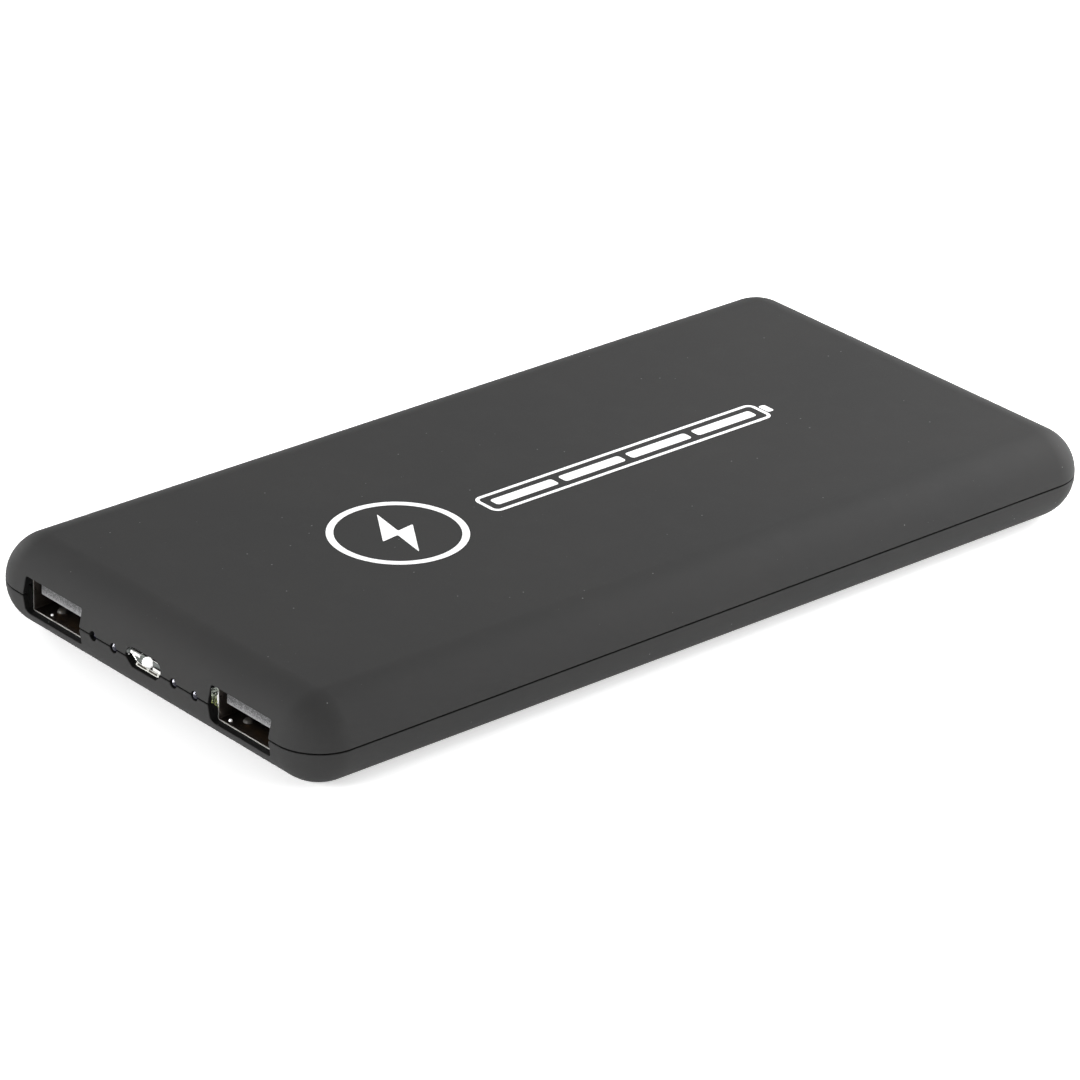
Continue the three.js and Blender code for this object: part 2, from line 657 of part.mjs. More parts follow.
// A folded metal sleeve with four tabs that lie on the board.
function makeUsbShell(centreX) {
  const sleeve = alongY(
    roundedRect(USB_A_WIDTH, USB_A_HEIGHT, USB_A_CORNER, centreX, USB_A_Z),
    USB_A_FRONT_Y,
    USB_A_BACK_Y,
  );
  const hollow = alongY(
    roundedRect(
      USB_A_WIDTH - 2 * USB_A_SHEET,
      USB_A_HEIGHT - 2 * USB_A_SHEET,
      USB_A_CORNER - USB_A_SHEET,
      centreX,
      USB_A_Z,
    ),
    USB_A_FRONT_Y - 1,
    USB_A_BACK_Y + 1,
  );
  const tabs = [-1, 1].flatMap((side) => USB_A_TAB_Y.map((back) => {
    const flank = centreX + side * (USB_A_WIDTH / 2 - USB_A_SHEET / 2);
    const x = [flank, flank + side * USB_A_TAB_REACH].sort((a, b) => a - b);
    const y = [USB_A_FRONT_Y + back, USB_A_FRONT_Y + back + FINGER_WIDTH];
    return box(x, y, [BOARD_TOP_Z, BOARD_TOP_Z + USB_A_SHEET]);
  }));
  const inner = toSolid(sleeve).subtract(toSolid(hollow));
  const tabbed = tabs.reduce((solid, tab) => solid.add(toSolid(tab)), inner);
  return toGeometry(tabbed.subtract(toSolid(hollow)));
}

// The moulding inside: a tongue under which the plug slides, on a block that closes the back.
function makeUsbInsulator(centreX) {
  const tongueTop = TONGUE_HIGH_Z - TONGUE_LOW_Z;
  const tonguePlan = roundedRect(
    TONGUE_WIDTH,
    tongueTop,
    0.3,
    centreX,
    (TONGUE_LOW_Z + TONGUE_HIGH_Z) / 2,
  );
  const tongue = alongY(tonguePlan, TONGUE_FRONT_Y, INSULATOR_BLOCK_Y + 1);
  const blockHalf = USB_A_WIDTH / 2 - USB_A_SHEET - 0.1;
  const blockRise = USB_A_HEIGHT / 2 - USB_A_SHEET - 0.1;
  const block = box(
    [centreX - blockHalf, centreX + blockHalf],
    [INSULATOR_BLOCK_Y, USB_A_BACK_Y - 0.15],
    [USB_A_Z - blockRise, USB_A_Z + blockRise],
  );
  const slots = USB_A_CONTACT_X.map((offset) => {
    const x = centreX + offset;
    const half = USB_A_CONTACT_WIDTH / 2 + 0.1;
    const y = [INSULATOR_BLOCK_Y - 0.01, USB_A_BACK_Y + 1];
    return box([x - half, x + half], y, [TONGUE_LOW_Z - 0.4, TONGUE_LOW_Z]);
  });
  return carve(block, [tongue], slots);
}

// A spring contact: it bows down from the tongue, runs back through the block and is soldered.
function makeUsbContact(x) {
  const sheet = 0.2;
  const level = TONGUE_LOW_Z - 0.25;
  const path = [
    [TONGUE_FRONT_Y + 0.7, level],
    [TONGUE_FRONT_Y + 2.2, level - 0.75],
    [TONGUE_FRONT_Y + 6.8, level],
    [USB_A_BACK_Y + 0.35, level],
    [USB_A_BACK_Y + 0.6, BOARD_TOP_Z + 0.15],
    [USB_A_BACK_Y + 1.5, BOARD_TOP_Z + 0.15],
  ];
  return alongX(stripOutline(path, sheet), x - USB_A_CONTACT_WIDTH / 2, x + USB_A_CONTACT_WIDTH / 2);
}

for (const [sideName, side] of USB_A_SIDES) {
  const centreX = side * USB_A_X;
  addPart(`usb_a_${sideName}_shell`, makeUsbShell(centreX), 'tin');
  addPart(`usb_a_${sideName}_insulator`, makeUsbInsulator(centreX), 'socketPlastic');
  USB_A_CONTACT_X.forEach((offset, i) => {
    addPart(`usb_a_${sideName}_contact_${i + 1}`, makeUsbContact(centreX + offset), 'gold');
  });
}

// ---------------------------------------------------------------------------------------------
// Micro-USB socket
// ---------------------------------------------------------------------------------------------

const MICRO_TONGUE_Z = [7.35, 7.95];
const MICRO_TONGUE_HALF = 1.9;
const MICRO_BLOCK_Y = MICRO_BACK_Y - 1.2;

// A folded sleeve whose mouth is flared, with two tabs on each side that lie on the board.
function makeMicroShell() {
  const mouthDepth = 0.3;
  const added = [alongY(microOutline(MICRO_FLARE), MICRO_FRONT_Y, MICRO_FRONT_Y + mouthDepth)];
  const tabY = [BOARD_FRONT_Y + 0.1, MICRO_BACK_Y - 1];
  const tabWidth = 0.9;
  const tabX = [MICRO_HALF_BOTTOM - 0.4, MICRO_HALF_TOP + 0.9];
  for (const side of [-1, 1]) {
    for (const y of tabY) {
      const x = tabX.map((edge) => side * edge).sort((a, b) => a - b);
      added.push(box(x, [y, y + tabWidth], [BOARD_TOP_Z, BOARD_TOP_Z + MICRO_SHEET]));
    }
  }
  const hollow = alongY(microOutline(-MICRO_SHEET), MICRO_FRONT_Y - 1, MICRO_BACK_Y + 1);
  return carve(alongY(microOutline(0), MICRO_FRONT_Y, MICRO_BACK_Y), added, [hollow]);
}

const MICRO_CONTACT_X = [-2, -1, 0, 1, 2].map((i) => i * MICRO_CONTACT_PITCH);
const MICRO_CONTACT_HALF = 0.13;
const MICRO_CONTACT_SHEET = 0.12;

function makeMicroInsulator() {
  const tongue = box(
    [-MICRO_TONGUE_HALF, MICRO_TONGUE_HALF],
    [MICRO_FRONT_Y + 0.9, MICRO_BLOCK_Y + 0.5],
    MICRO_TONGUE_Z,
  );
  const block = alongY(microOutline(-MICRO_SHEET - 0.08), MICRO_BLOCK_Y, MICRO_BACK_Y - 0.1);
  const slots = MICRO_CONTACT_X.map((x) => {
    const half = MICRO_CONTACT_HALF + 0.06;
    const z = [MICRO_TONGUE_Z[0] - 0.3, MICRO_TONGUE_Z[0]];
    return box([x - half, x + half], [MICRO_BLOCK_Y - 0.01, MICRO_BACK_Y + 1], z);
  });
  return carve(block, [tongue], slots);
}

function makeMicroContact(x) {
  const level = MICRO_TONGUE_Z[0] - 0.15;
  const path = [
    [MICRO_FRONT_Y + 1.2, level],
    [MICRO_BACK_Y + 0.15, level],
    [MICRO_BACK_Y + 0.3, BOARD_TOP_Z + 0.1],
    [MICRO_BACK_Y + 0.9, BOARD_TOP_Z + 0.1],
  ];
  const shape = stripOutline(path, MICRO_CONTACT_SHEET);
  return alongX(shape, x - MICRO_CONTACT_HALF, x + MICRO_CONTACT_HALF);
}

addPart('micro_usb_shell', makeMicroShell(), 'tin');
addPart('micro_usb_insulator', makeMicroInsulator(), 'blackPlastic');
MICRO_CONTACT_X.forEach((x, i) => addPart(`micro_usb_contact_${i + 1}`, makeMicroContact(x), 'gold'));

// ---------------------------------------------------------------------------------------------
// Gauge lights
// ---------------------------------------------------------------------------------------------

// A side-firing light on the front edge of the board.
function makeLight(x) {
  const frontY = BOARD_FRONT_Y + 0.05;
  const body = box([x - 1, x + 1], [frontY, frontY + 0.8], [BOARD_TOP_Z, BOARD_TOP_Z + 1.7]);
  return carve(body, [rodAlongY(0.5, frontY - 0.2, frontY + 0.3, x, SEAM_Z, 12)]);
}

// A clear plug with a domed face, held by a flange behind the wall.
function makeLens(x) {
  const faceY = PORT_END_Y + 0.3;
  const shoulderY = PORT_END_Y + LIP_INNER_INSET + 0.1;
  const backY = shoulderY + 0.5;
  const flange = LENS_RADIUS + 0.5;
  const profile = [
    [0, faceY],
    [LENS_RADIUS * 0.6, faceY + 0.08],
    [LENS_RADIUS, faceY + 0.35],
    [LENS_RADIUS, shoulderY],
    [flange, shoulderY],
    [flange, backY],
    [0, backY],
  ];
  const points = profile.map(([r, y]) => new THREE.Vector2(r, y));
  return new THREE.LatheGeometry(points, 16).translate(x, 0, SEAM_Z);
}

LIGHT_X.forEach((x, i) => {
  addPart(`gauge_light_${i + 1}`, makeLight(x), 'ledBody');
  addPart(`light_lens_${i + 1}`, makeLens(x), 'clear');
});

// ---------------------------------------------------------------------------------------------
// Cells, tabs and foam
// ---------------------------------------------------------------------------------------------

// A pouch cell: a soft-edged block with a thin sealed strip at its front.
function makeCell(zLow) {
  const plan = roundedRect(
    CELL_WIDTH - 2 * CELL_EDGE,
    CELL_LENGTH - 2 * CELL_EDGE,
    1,
    0,
    CELL_CENTRE_Y,
  );
  const block = cushionedPlate(plan, CELL_THICKNESS, CELL_EDGE, zLow, 3);
  const middle = zLow + CELL_THICKNESS / 2;
  const seal = box(
    [-CELL_SEAL_HALF_WIDTH, CELL_SEAL_HALF_WIDTH],
    [CELL_FRONT_Y - CELL_SEAL_LENGTH, CELL_FRONT_Y + 1],
    [middle - CELL_SEAL_THICKNESS / 2, middle + CELL_SEAL_THICKNESS / 2],
  );
  return carve(block, [seal]);
}

// A nickel tab from a cell's sealed strip to the face of the board nearest to it.
function makeTab(x, cellZ, boardFaceZ) {
  const sealY = CELL_FRONT_Y - CELL_SEAL_LENGTH;
  const middle = cellZ + CELL_THICKNESS / 2;
  const path = [
    [sealY, middle],
    [sealY - 0.6, middle],
    [BOARD_BACK_Y + 0.4, boardFaceZ],
    [BOARD_BACK_Y - 3, boardFaceZ],
  ];
  return alongX(stripOutline(path, TAB_SHEET), x - TAB_WIDTH / 2, x + TAB_WIDTH / 2);
}

// A soft pad that fills the space between two heights, but for a little play.
function makePad(zLow, zHigh) {
  const plan = roundedRect(PAD_WIDTH, PAD_LENGTH, 2, 0, CELL_CENTRE_Y);
  return plate(plan, zLow + PAD_PLAY, zHigh - PAD_PLAY);
}

const CELLS = [
  ['lower', LOWER_CELL_Z, BOARD_BOTTOM_Z - 0.15],
  ['upper', UPPER_CELL_Z, BOARD_TOP_Z + 0.15],
];

for (const [name, cellZ, boardFaceZ] of CELLS) {
  addPart(`battery_cell_${name}`, makeCell(cellZ), 'pouch');
  addPart(`${name}_positive_tab`, makeTab(TAB_X, cellZ, boardFaceZ), 'nickel');
  addPart(`${name}_negative_tab`, makeTab(-TAB_X, cellZ, boardFaceZ), 'nickel');
}
addPart('lower_foam_pad', makePad(FLOOR_Z, LOWER_CELL_Z), 'foam');
addPart('cell_tape', makePad(LOWER_CELL_Z + CELL_THICKNESS, UPPER_CELL_Z), 'foam');
addPart('upper_foam_pad', makePad(UPPER_CELL_Z + CELL_THICKNESS, CEILING_Z), 'foam');

export default group;
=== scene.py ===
"""A slim pocket power bank, dressed around its CAD frame.

The frame is in metres with Z up and the sockets at the -Y end. Shapes below are worked out in
millimetres and scaled once, when a mesh is made.
"""

import json
from math import atan2, ceil, cos, pi, radians, sin, sqrt

import bmesh
import bpy
from mathutils import Matrix, Vector
from mathutils.geometry import delaunay_2d_cdt


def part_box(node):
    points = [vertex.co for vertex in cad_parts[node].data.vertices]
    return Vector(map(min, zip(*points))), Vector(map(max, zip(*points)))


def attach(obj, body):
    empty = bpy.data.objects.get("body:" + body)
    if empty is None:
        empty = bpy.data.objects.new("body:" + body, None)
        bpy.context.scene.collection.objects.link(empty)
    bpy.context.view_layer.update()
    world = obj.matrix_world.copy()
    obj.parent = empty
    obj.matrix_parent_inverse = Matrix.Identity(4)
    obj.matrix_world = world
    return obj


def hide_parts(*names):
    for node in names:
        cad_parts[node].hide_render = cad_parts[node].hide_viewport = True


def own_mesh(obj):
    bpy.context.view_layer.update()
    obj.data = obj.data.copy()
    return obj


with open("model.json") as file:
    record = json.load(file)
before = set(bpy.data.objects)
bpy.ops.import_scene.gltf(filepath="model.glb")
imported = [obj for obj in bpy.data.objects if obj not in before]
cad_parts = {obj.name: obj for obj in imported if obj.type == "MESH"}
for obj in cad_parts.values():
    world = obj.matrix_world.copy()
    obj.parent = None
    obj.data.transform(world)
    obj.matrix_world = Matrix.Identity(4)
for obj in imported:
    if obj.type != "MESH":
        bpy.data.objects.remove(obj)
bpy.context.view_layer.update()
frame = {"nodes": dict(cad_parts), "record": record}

MM = 0.001

# --- Dimensions, in millimetres ---

NEAR = 1e-6  # lengths under this count as none


def node_box(name):
    """The lowest and highest corner of a CAD node, in millimetres."""
    low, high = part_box(name)
    return low / MM, high / MM


HALF_WIDTH, HALF_LENGTH, _ = node_box("bottom_cover")[1]
HALF_HEIGHT = node_box("top_cover")[1].z / 2
SEAM_Z = HALF_HEIGHT
CORNER_RADIUS = 7.35
SIDE_BAND = 0.05  # the sides are upright this far from the seam, and round beyond it
INK = 0.02  # how far the print stands on the top face
WALL = 1.5
SEAM_HALF = 0.12  # half of the seam's gap
LIP_OUTER = 0.83  # the bottom shell's lip begins this deep in its wall
LIP_RISE = 1.28  # and stands this far up past the seam plane
STEP_INSET = 0.8  # the top shell's recess for the lip, as deep
STEP_RISE = 1.33  # and as high as this
EDGE_SOFTNESS = 0.12  # the rounding along the seam and round every opening
CORNER_SOFTNESS = 0.22  # the rounding where an opening runs into the seam
NOTCH_FOOT = 0.44  # the seam's edge is drawn for this far on both sides of an opening

WINDOW_STEP = 1.0  # columns of faces stand this close where there are openings
PLAIN_STEP = 8  # and this close along the rest of the straight sides
CORNER_STEPS = 16
WINDOW_HEIGHT = 3.3  # faces are fitted round the openings up to here, counted from the seam plane
FACE_CLEARANCE = 0.22  # and their points keep this far from the openings' edges
CAP_BAND = 0.3

PORT_Y = -HALF_LENGTH
USB_SIDES = (("left", -1), ("right", 1))
USB_X = 21.55
USB_Z = 6.97
USB_WIDTH = 13.1
USB_HEIGHT = 5.7
USB_SHEET = 0.3
USB_CORNER = 0.4
USB_SHIFT = -0.12  # the sleeves sit a little to the left in their mouths
TONGUE_SHIFT = -0.27
USB_FRONT_Y = node_box("usb_a_left_shell")[0].y
USB_LIP_Y = USB_FRONT_Y - 0.28  # the sleeves' front edges, a little proud of the CAD's
USB_BACK_Y = node_box("usb_a_left_shell")[1].y
MOUTH_WIDTH = USB_WIDTH + 0.3
MOUTH_HEIGHT = USB_HEIGHT + 0.1
MOUTH_SHIFT = -0.05
MOUTH_LOW_CORNER = 0.8
MOUTH_HIGH_CORNER = 0.3

MICRO_HALF_TOP = 3.75
MICRO_HALF_BOTTOM = 2.65
MICRO_LOW_Z = 6.0
MICRO_HIGH_Z = 8.5
MICRO_TOP_BEVEL = 0.5
MICRO_SHEET = 0.25
# The right half of the micro-USB mouth's outline, upwards.
MICRO_MOUTH = ((2.7, 5.72), (4.1, 7.0), (4.1, 7.35), (3.62, 8.42), (2.6, 8.8))
MICRO_FRONT_Y = node_box("micro_usb_shell")[0].y
MICRO_BACK_Y = node_box("micro_usb_shell")[1].y

LIGHT_X = (-11.7, -6.9, 6.9, 11.7)
LIGHT_HOLE_RADIUS = 0.75
LENS_RADIUS = 0.65

BUTTON_Y = -61.0
BUTTON_LENGTH = 12.0
BUTTON_HEIGHT = 3.4
BUTTON_CLEARANCE = 0.2
BUTTON_SINK = 0.08

# --- Meshes ---


def add_object(name, data):
    obj = bpy.data.objects.new(name, data)
    bpy.context.scene.collection.objects.link(obj)
    return obj


class Surface:
    """Points and faces in millimetres, with a shading normal at each face corner where one is known."""

    def __init__(self, mirrored=False):
        self.points = []
        self.faces = []
        self.normals = []
        self.slots = []
        self.slot = 0  # the material that new faces take
        self.mirrored = mirrored

    def add(self, point):
        self.points.append(Vector(point))
        return len(self.points) - 1

    def face(self, corners, normals=None):
        known = list(normals) if normals else [Vector((0, 0, 0))] * len(corners)
        pairs = [p for i, p in enumerate(zip(corners, known)) if p[0] != corners[i - 1]]
        if len(pairs) < 3:
            return
        if self.mirrored:
            pairs.reverse()
        self.faces.append([c for c, _ in pairs])
        self.normals.append([n for _, n in pairs])
        self.slots.append(self.slot)

    def strip(self, low, high, low_normals=None, high_normals=None, closed=True):
        """Quads between two rows of points. From outside, low lies below high and both run to the right."""
        count = len(low)
        for i in range(count if closed else count - 1):
            j = (i + 1) % count
            known = None
            if low_normals:
                known = (low_normals[i], low_normals[j], high_normals[j], high_normals[i])
            self.face((low[i], low[j], high[j], high[i]), known)

    def rings(self, rings):
        """A closed body through rings of points, which run anticlockwise as seen from the last one."""
        rows = [[self.add(p) for p in ring] for ring in rings]
        for low, high in zip(rows, rows[1:]):
            self.strip(low, high)
        self.face(rows[0][::-1])
        self.face(rows[-1])

    def box(self, low, high, soft=0.06):
        """A box with its twelve edges cut off and its corners with them."""
        (x0, y0, z0), (x1, y1, z1) = low, high
        s = min(soft, (x1 - x0) / 3, (y1 - y0) / 3, (z1 - z0) / 3)

        def ring(inset, z):
            a, b, c, d = x0 + inset, x1 - inset, y0 + inset, y1 - inset
            return [(a + s, c, z), (b - s, c, z), (b, c + s, z), (b, d - s, z),
                    (b - s, d, z), (a + s, d, z), (a, d - s, z), (a, c + s, z)]

        self.rings([ring(s, z0), ring(0, z0 + s), ring(0, z1 - s), ring(s, z1)])

    def loop(self, rings, slots=None):
        """A closed body round a hole: each ring joins the next, and the last one joins the first."""
        rows = [[self.add(p) for p in ring] for ring in rings]
        for i, low in enumerate(rows):
            self.slot = slots[i] if slots else 0
            self.strip(low, rows[(i + 1) % len(rows)])
        self.slot = 0

    def bar(self, path, across, half_width, thickness):
        """A strip of sheet of even thickness that follows path, with its width along the direction across."""
        across = Vector(across).normalized()
        path = [Vector(point) for point in path]
        w, t = half_width, thickness / 2
        c = min(thickness, half_width) * 0.25  # how much its long edges are cut off
        right = ((w - c, -t), (w, -t + c), (w, t - c), (w - c, t))
        outline = ((-w + c, -t), *right, (-w + c, t), (-w, t - c), (-w, -t + c))
        rings = []
        for i, here in enumerate(path):
            ahead = (path[min(i + 1, len(path) - 1)] - path[max(i - 1, 0)]).normalized()
            up = ahead.cross(across)
            rings.append([here + across * a + up * b for a, b in outline])
        self.rings(rings)

    def make(self, name, materials, smooth_angle=None):
        mesh = bpy.data.meshes.new(name)
        mesh.from_pydata([p * MM for p in self.points], [], self.faces)
        mesh.polygons.foreach_set("use_smooth", [True] * len(self.faces))
        mesh.polygons.foreach_set("material_index", self.slots)
        if smooth_angle is None:
            flat = [n.normalized() if n.length > 0 else n for row in self.normals for n in row]
            mesh.normals_split_custom_set(flat)
        else:
            rebuilt = bmesh.new()
            rebuilt.from_mesh(mesh)
            bmesh.ops.recalc_face_normals(rebuilt, faces=rebuilt.faces)
            rebuilt.to_mesh(mesh)
            rebuilt.free()
            mesh.set_sharp_from_angle(angle=radians(smooth_angle))
        for material in materials:
            mesh.materials.append(material)
        mesh.update()
        return add_object(name, mesh)


def arc(centre, radius, start, end, steps):
    """Points on an arc, angles in degrees."""
    angles = (radians(start + (end - start) * i / steps) for i in range(steps + 1))
    return [(centre[0] + radius * cos(a), centre[1] + radius * sin(a)) for a in angles]


def circle(centre, radius, count):
    return arc(centre, radius, 0, 360, count)[:-1]


def level(outline, z):
    return [(x, y, z) for x, y in outline]


def upright(outline, y):
    return [(x, y, z) for x, z in outline]


def rounded_rectangle(width, height, radius, centre=(0, 0), steps=6):
    """An outline that runs anticlockwise."""
    x, y = width / 2 - radius, height / 2 - radius
    points = []
    for sx, sy, start in ((1, -1, -90), (1, 1, 0), (-1, 1, 90), (-1, -1, 180)):
        points += arc((centre[0] + sx * x, centre[1] + sy * y), radius, start, start + 90, steps)
    return points


def slot_outline(length, height, centre, steps=12):
    """A rounded slot, running anticlockwise."""
    reach = (length - height) / 2
    right = arc((centre[0] + reach, centre[1]), height / 2, -90, 90, steps)
    return right + arc((centre[0] - reach, centre[1]), height / 2, 90, 270, steps)


def micro_outline(grow, soften=0.25, steps=3):
    """The micro-USB socket's outline, anticlockwise, grown on every side and with its corners rounded."""
    shift = grow * (sqrt(2) - 1)
    bevel = MICRO_HALF_TOP - MICRO_HALF_BOTTOM
    right = [
        (MICRO_HALF_BOTTOM + shift, MICRO_LOW_Z - grow),
        (MICRO_HALF_TOP + grow, MICRO_LOW_Z + bevel - shift),
        (MICRO_HALF_TOP + grow, MICRO_HIGH_Z - MICRO_TOP_BEVEL + shift),
        (MICRO_HALF_TOP - MICRO_TOP_BEVEL + shift, MICRO_HIGH_Z + grow),
    ]
    corners = right + [(-x, z) for x, z in reversed(right)]
    return soften_corners(corners, soften, steps)


def soften_corners(corners, reach, steps, closed=True):
    """Each corner of an outline replaced by a short curve that starts and ends reach away from it."""
    points = []
    count = len(corners)
    for i, corner in enumerate(corners):
        if not closed and i in (0, count - 1):
            points.append(tuple(corner))
            continue
        here = Vector(corner)
        into = here - Vector(corners[i - 1])
        out = Vector(corners[(i + 1) % count]) - here
        start = here - into.normalized() * min(reach, into.length / 2.2)
        end = here + out.normalized() * min(reach, out.length / 2.2)
        for k in range(steps + 1):
            t = k / steps
            points.append(tuple(start.lerp(here, t).lerp(here.lerp(end, t), t)))
    return points


# --- The two half shells ---

CENTRE_X = HALF_WIDTH - CORNER_RADIUS
CENTRE_Y = HALF_LENGTH - CORNER_RADIUS
QUARTER = CORNER_RADIUS * pi / 2

# The seam's four straight stretches: start, direction and length. Each has a corner after it, and they run
# anticlockwise from the sockets' end.
STRETCHES = (
    (Vector((-CENTRE_X, PORT_Y)), Vector((1, 0)), 2 * CENTRE_X),
    (Vector((HALF_WIDTH, -CENTRE_Y)), Vector((0, 1)), 2 * CENTRE_Y),
    (Vector((CENTRE_X, HALF_LENGTH)), Vector((-1, 0)), 2 * CENTRE_X),
    (Vector((-HALF_WIDTH, CENTRE_Y)), Vector((0, -1)), 2 * CENTRE_Y),
)
STRETCH_START = [0.0]
for _stretch in STRETCHES:
    STRETCH_START.append(STRETCH_START[-1] + _stretch[2] + QUARTER)
BUTTON_S = STRETCH_START[3] + CENTRE_Y - BUTTON_Y


def around(s, inset):
    """The plan's point at distance s round the seam, drawn in by inset, and the outward and forward
    directions there."""
    i = max(k for k in range(4) if s >= STRETCH_START[k] - 1e-9)
    start, ahead, length = STRETCHES[i]
    out = Vector((ahead.y, -ahead.x))
    along = s - STRETCH_START[i]
    if along <= length:
        return start + ahead * along - out * inset, out, ahead
    turn = Matrix.Rotation((along - length) / CORNER_RADIUS, 2)
    centre = start + ahead * length - out * CORNER_RADIUS
    out, ahead = turn @ out, turn @ ahead
    return centre + out * (CORNER_RADIUS - inset), out, ahead


class Half:
    """One half of the body. Heights are counted from the seam plane, up for the top half and down for the
    bottom one."""

    ROWS = 24

    def __init__(self, up, half_height):
        self.up = up
        self.half_height = half_height
        self.radius = half_height - SIDE_BAND

    def inset(self, height, depth):
        """How far the body's form, drawn in by depth, stands inside the seam plan at a height."""
        radius = self.radius - depth
        rise = min(max(height - SIDE_BAND, 0), radius)
        return depth + radius - sqrt(radius * radius - rise * rise)

    def point(self, s, height, inset):
        plan, _, _ = around(s, inset)
        return Vector((plan.x, plan.y, SEAM_Z + self.up * height))

    def normal(self, s, height, depth):
        radius = self.radius - depth
        tilt = min(max(height - SIDE_BAND, 0) / radius, 1)
        _, out, _ = around(s, 0)
        flat = sqrt(1 - tilt * tilt)
        return Vector((out.x * flat, out.y * flat, self.up * tilt))

    def sideways(self, s, move):
        """A direction in the (s, height) plane as a direction in space."""
        _, _, ahead = around(s, 0)
        return Vector((ahead.x * move[0], ahead.y * move[0], self.up * move[1]))


def usb_mouth(x):
    """A USB-A mouth's outline round x, with wider corners below than above."""
    low_z, high_z = USB_Z - MOUTH_HEIGHT / 2, USB_Z + MOUTH_HEIGHT / 2
    outline = []
    for side, up, start in ((1, 0, -90), (1, 1, 0), (-1, 1, 90), (-1, 0, 180)):
        radius = MOUTH_HIGH_CORNER if up else MOUTH_LOW_CORNER
        centre = (x + side * (MOUTH_WIDTH / 2 - radius), high_z - radius if up else low_z + radius)
        outline += arc(centre, radius, start, start + 90, 6)
    return outline


def openings(half):
    """Outlines in the (s, height) plane of what opens through the seam, on the sockets' end and beside it."""
    lights = {x: circle((x, SEAM_Z), LIGHT_HOLE_RADIUS, 24) for x in LIGHT_X}
    mouths = {side * USB_X: usb_mouth(side * USB_X + MOUTH_SHIFT) for _, side in USB_SIDES}
    micro = soften_corners([*MICRO_MOUTH, *((-x, z) for x, z in reversed(MICRO_MOUTH))], 0.2, 3)
    port_end = sorted({**lights, **mouths, 0.0: micro}.items())
    size = (BUTTON_LENGTH + 2 * BUTTON_CLEARANCE, BUTTON_HEIGHT + 2 * BUTTON_CLEARANCE)
    return (
        [[(x + CENTRE_X, half.up * (z - SEAM_Z)) for x, z in outline] for _, outline in port_end],
        [slot_outline(*size, (BUTTON_S, 0))],
    )


def notch(outline, base):
    """The part of a convex outline beyond base, left to right, with upright legs where it stops short."""
    lowest, highest = min(h for _, h in outline), max(h for _, h in outline)
    if highest < base + 0.1:
        return []
    left, right = min(s for s, _ in outline), max(s for s, _ in outline)
    middle = (left + right) / 2
    foot = base if lowest < base else (lowest + highest) / 2
    kept = [(s, h) for s, h in outline if h > foot + NEAR]
    kept.sort(key=lambda p: -atan2(p[1] - foot, p[0] - middle))
    if foot > base:
        return [(left, base), *kept, (right, base)]
    ends = []
    for (s0, h0), (s1, h1) in zip(outline, outline[1:] + outline[:1]):
        if (h0 - base) * (h1 - base) < 0:
            ends.append(s0 + (s1 - s0) * (base - h0) / (h1 - h0))
    return [(min(ends), base), *kept, (max(ends), base)]


def lower_edge(columns, outlines, base):
    """The edge of a half along its seam over a window of columns: straight, but for its openings' notches."""
    edge = [(columns[0], base)]
    free = columns[1:-1]
    for outline in outlines:
        path = notch(outline, base)
        if path:
            start, end = path[0][0] - NOTCH_FOOT, path[-1][0] + NOTCH_FOOT
            head = soften_corners([(start, base), *path[:2]], CORNER_SOFTNESS, 3, closed=False)
            tail = soften_corners([*path[-2:], (end, base)], CORNER_SOFTNESS, 3, closed=False)
            edge += [(s, base) for s in free if s < start]
            edge += head[1:-1] + path[1:-1] + tail[1:-1]
            free = [s for s in free if s > end]
    return edge + [(s, base) for s in (*free, columns[-1])]


def miters(edge):
    """For each point of a closed edge in the (s, height) plane, the move that offsets the edge by 1."""
    total = STRETCH_START[4]
    moves = []
    for i, (s, h) in enumerate(edge):
        before, after = edge[i - 1], edge[(i + 1) % len(edge)]
        back = Vector((s - before[0] + (total if i == 0 else 0), h - before[1])).normalized()
        gap = total if i == len(edge) - 1 else 0
        ahead = Vector((after[0] - s + gap, after[1] - h)).normalized()
        n0, n1 = Vector((-back.y, back.x)), Vector((-ahead.y, ahead.x))
        moves.append((n0 + n1) / (1 + n0.dot(n1)))
    return moves


def inside(point, polygon):
    x, y = point
    found = False
    for (x0, y0), (x1, y1) in zip(polygon, polygon[1:] + polygon[:1]):
        if (y0 > y) != (y1 > y) and x < x0 + (x1 - x0) * (y - y0) / (y1 - y0):
            found = not found
    return found


def clearance(point, path):
    """The distance from a point to an open path."""
    p = Vector(point)
    best = 1e9
    for a, b in zip(path, path[1:]):
        a, b = Vector(a), Vector(b)
        t = max(0.0, min(1.0, (p - a).dot(b - a) / max((b - a).length_squared, 1e-12)))
        best = min(best, (p - a.lerp(b, t)).length)
    return best


def spread(start, end, step):
    """Evenly spaced values from start to end, both included, at most step apart."""
    count = max(1, ceil((end - start) / step))
    return [start + (end - start) * i / count for i in range(count + 1)]


def seam_columns():
    """Where faces are divided along the seam: over the sockets' end, on to the button, over it, and home."""
    port = spread(0, 2 * CENTRE_X, WINDOW_STEP)
    button = spread(BUTTON_S - 8, STRETCH_START[3] + 2 * CENTRE_Y, WINDOW_STEP)
    ends = [start + length for start, (_, _, length) in zip(STRETCH_START, STRETCHES)]
    plain = [end + QUARTER * k / CORNER_STEPS for end in ends for k in range(CORNER_STEPS + 1)]
    for start, end in zip(STRETCH_START[1:], (*ends[1:3], button[0])):
        plain += spread(start, end, PLAIN_STEP)
    plain = sorted({round(s, 9) for s in plain})
    between = [s for s in plain if port[-1] + NEAR < s < button[0] - NEAR]
    home = [s for s in plain if button[-1] + NEAR < s < STRETCH_START[4] - NEAR]
    return port, between, button, home


PAINTED, BARE_AND_SHADED = 0, 1  # the shells' materials: the paint, and bare plastic darkened as painted shade in the seam and the openings
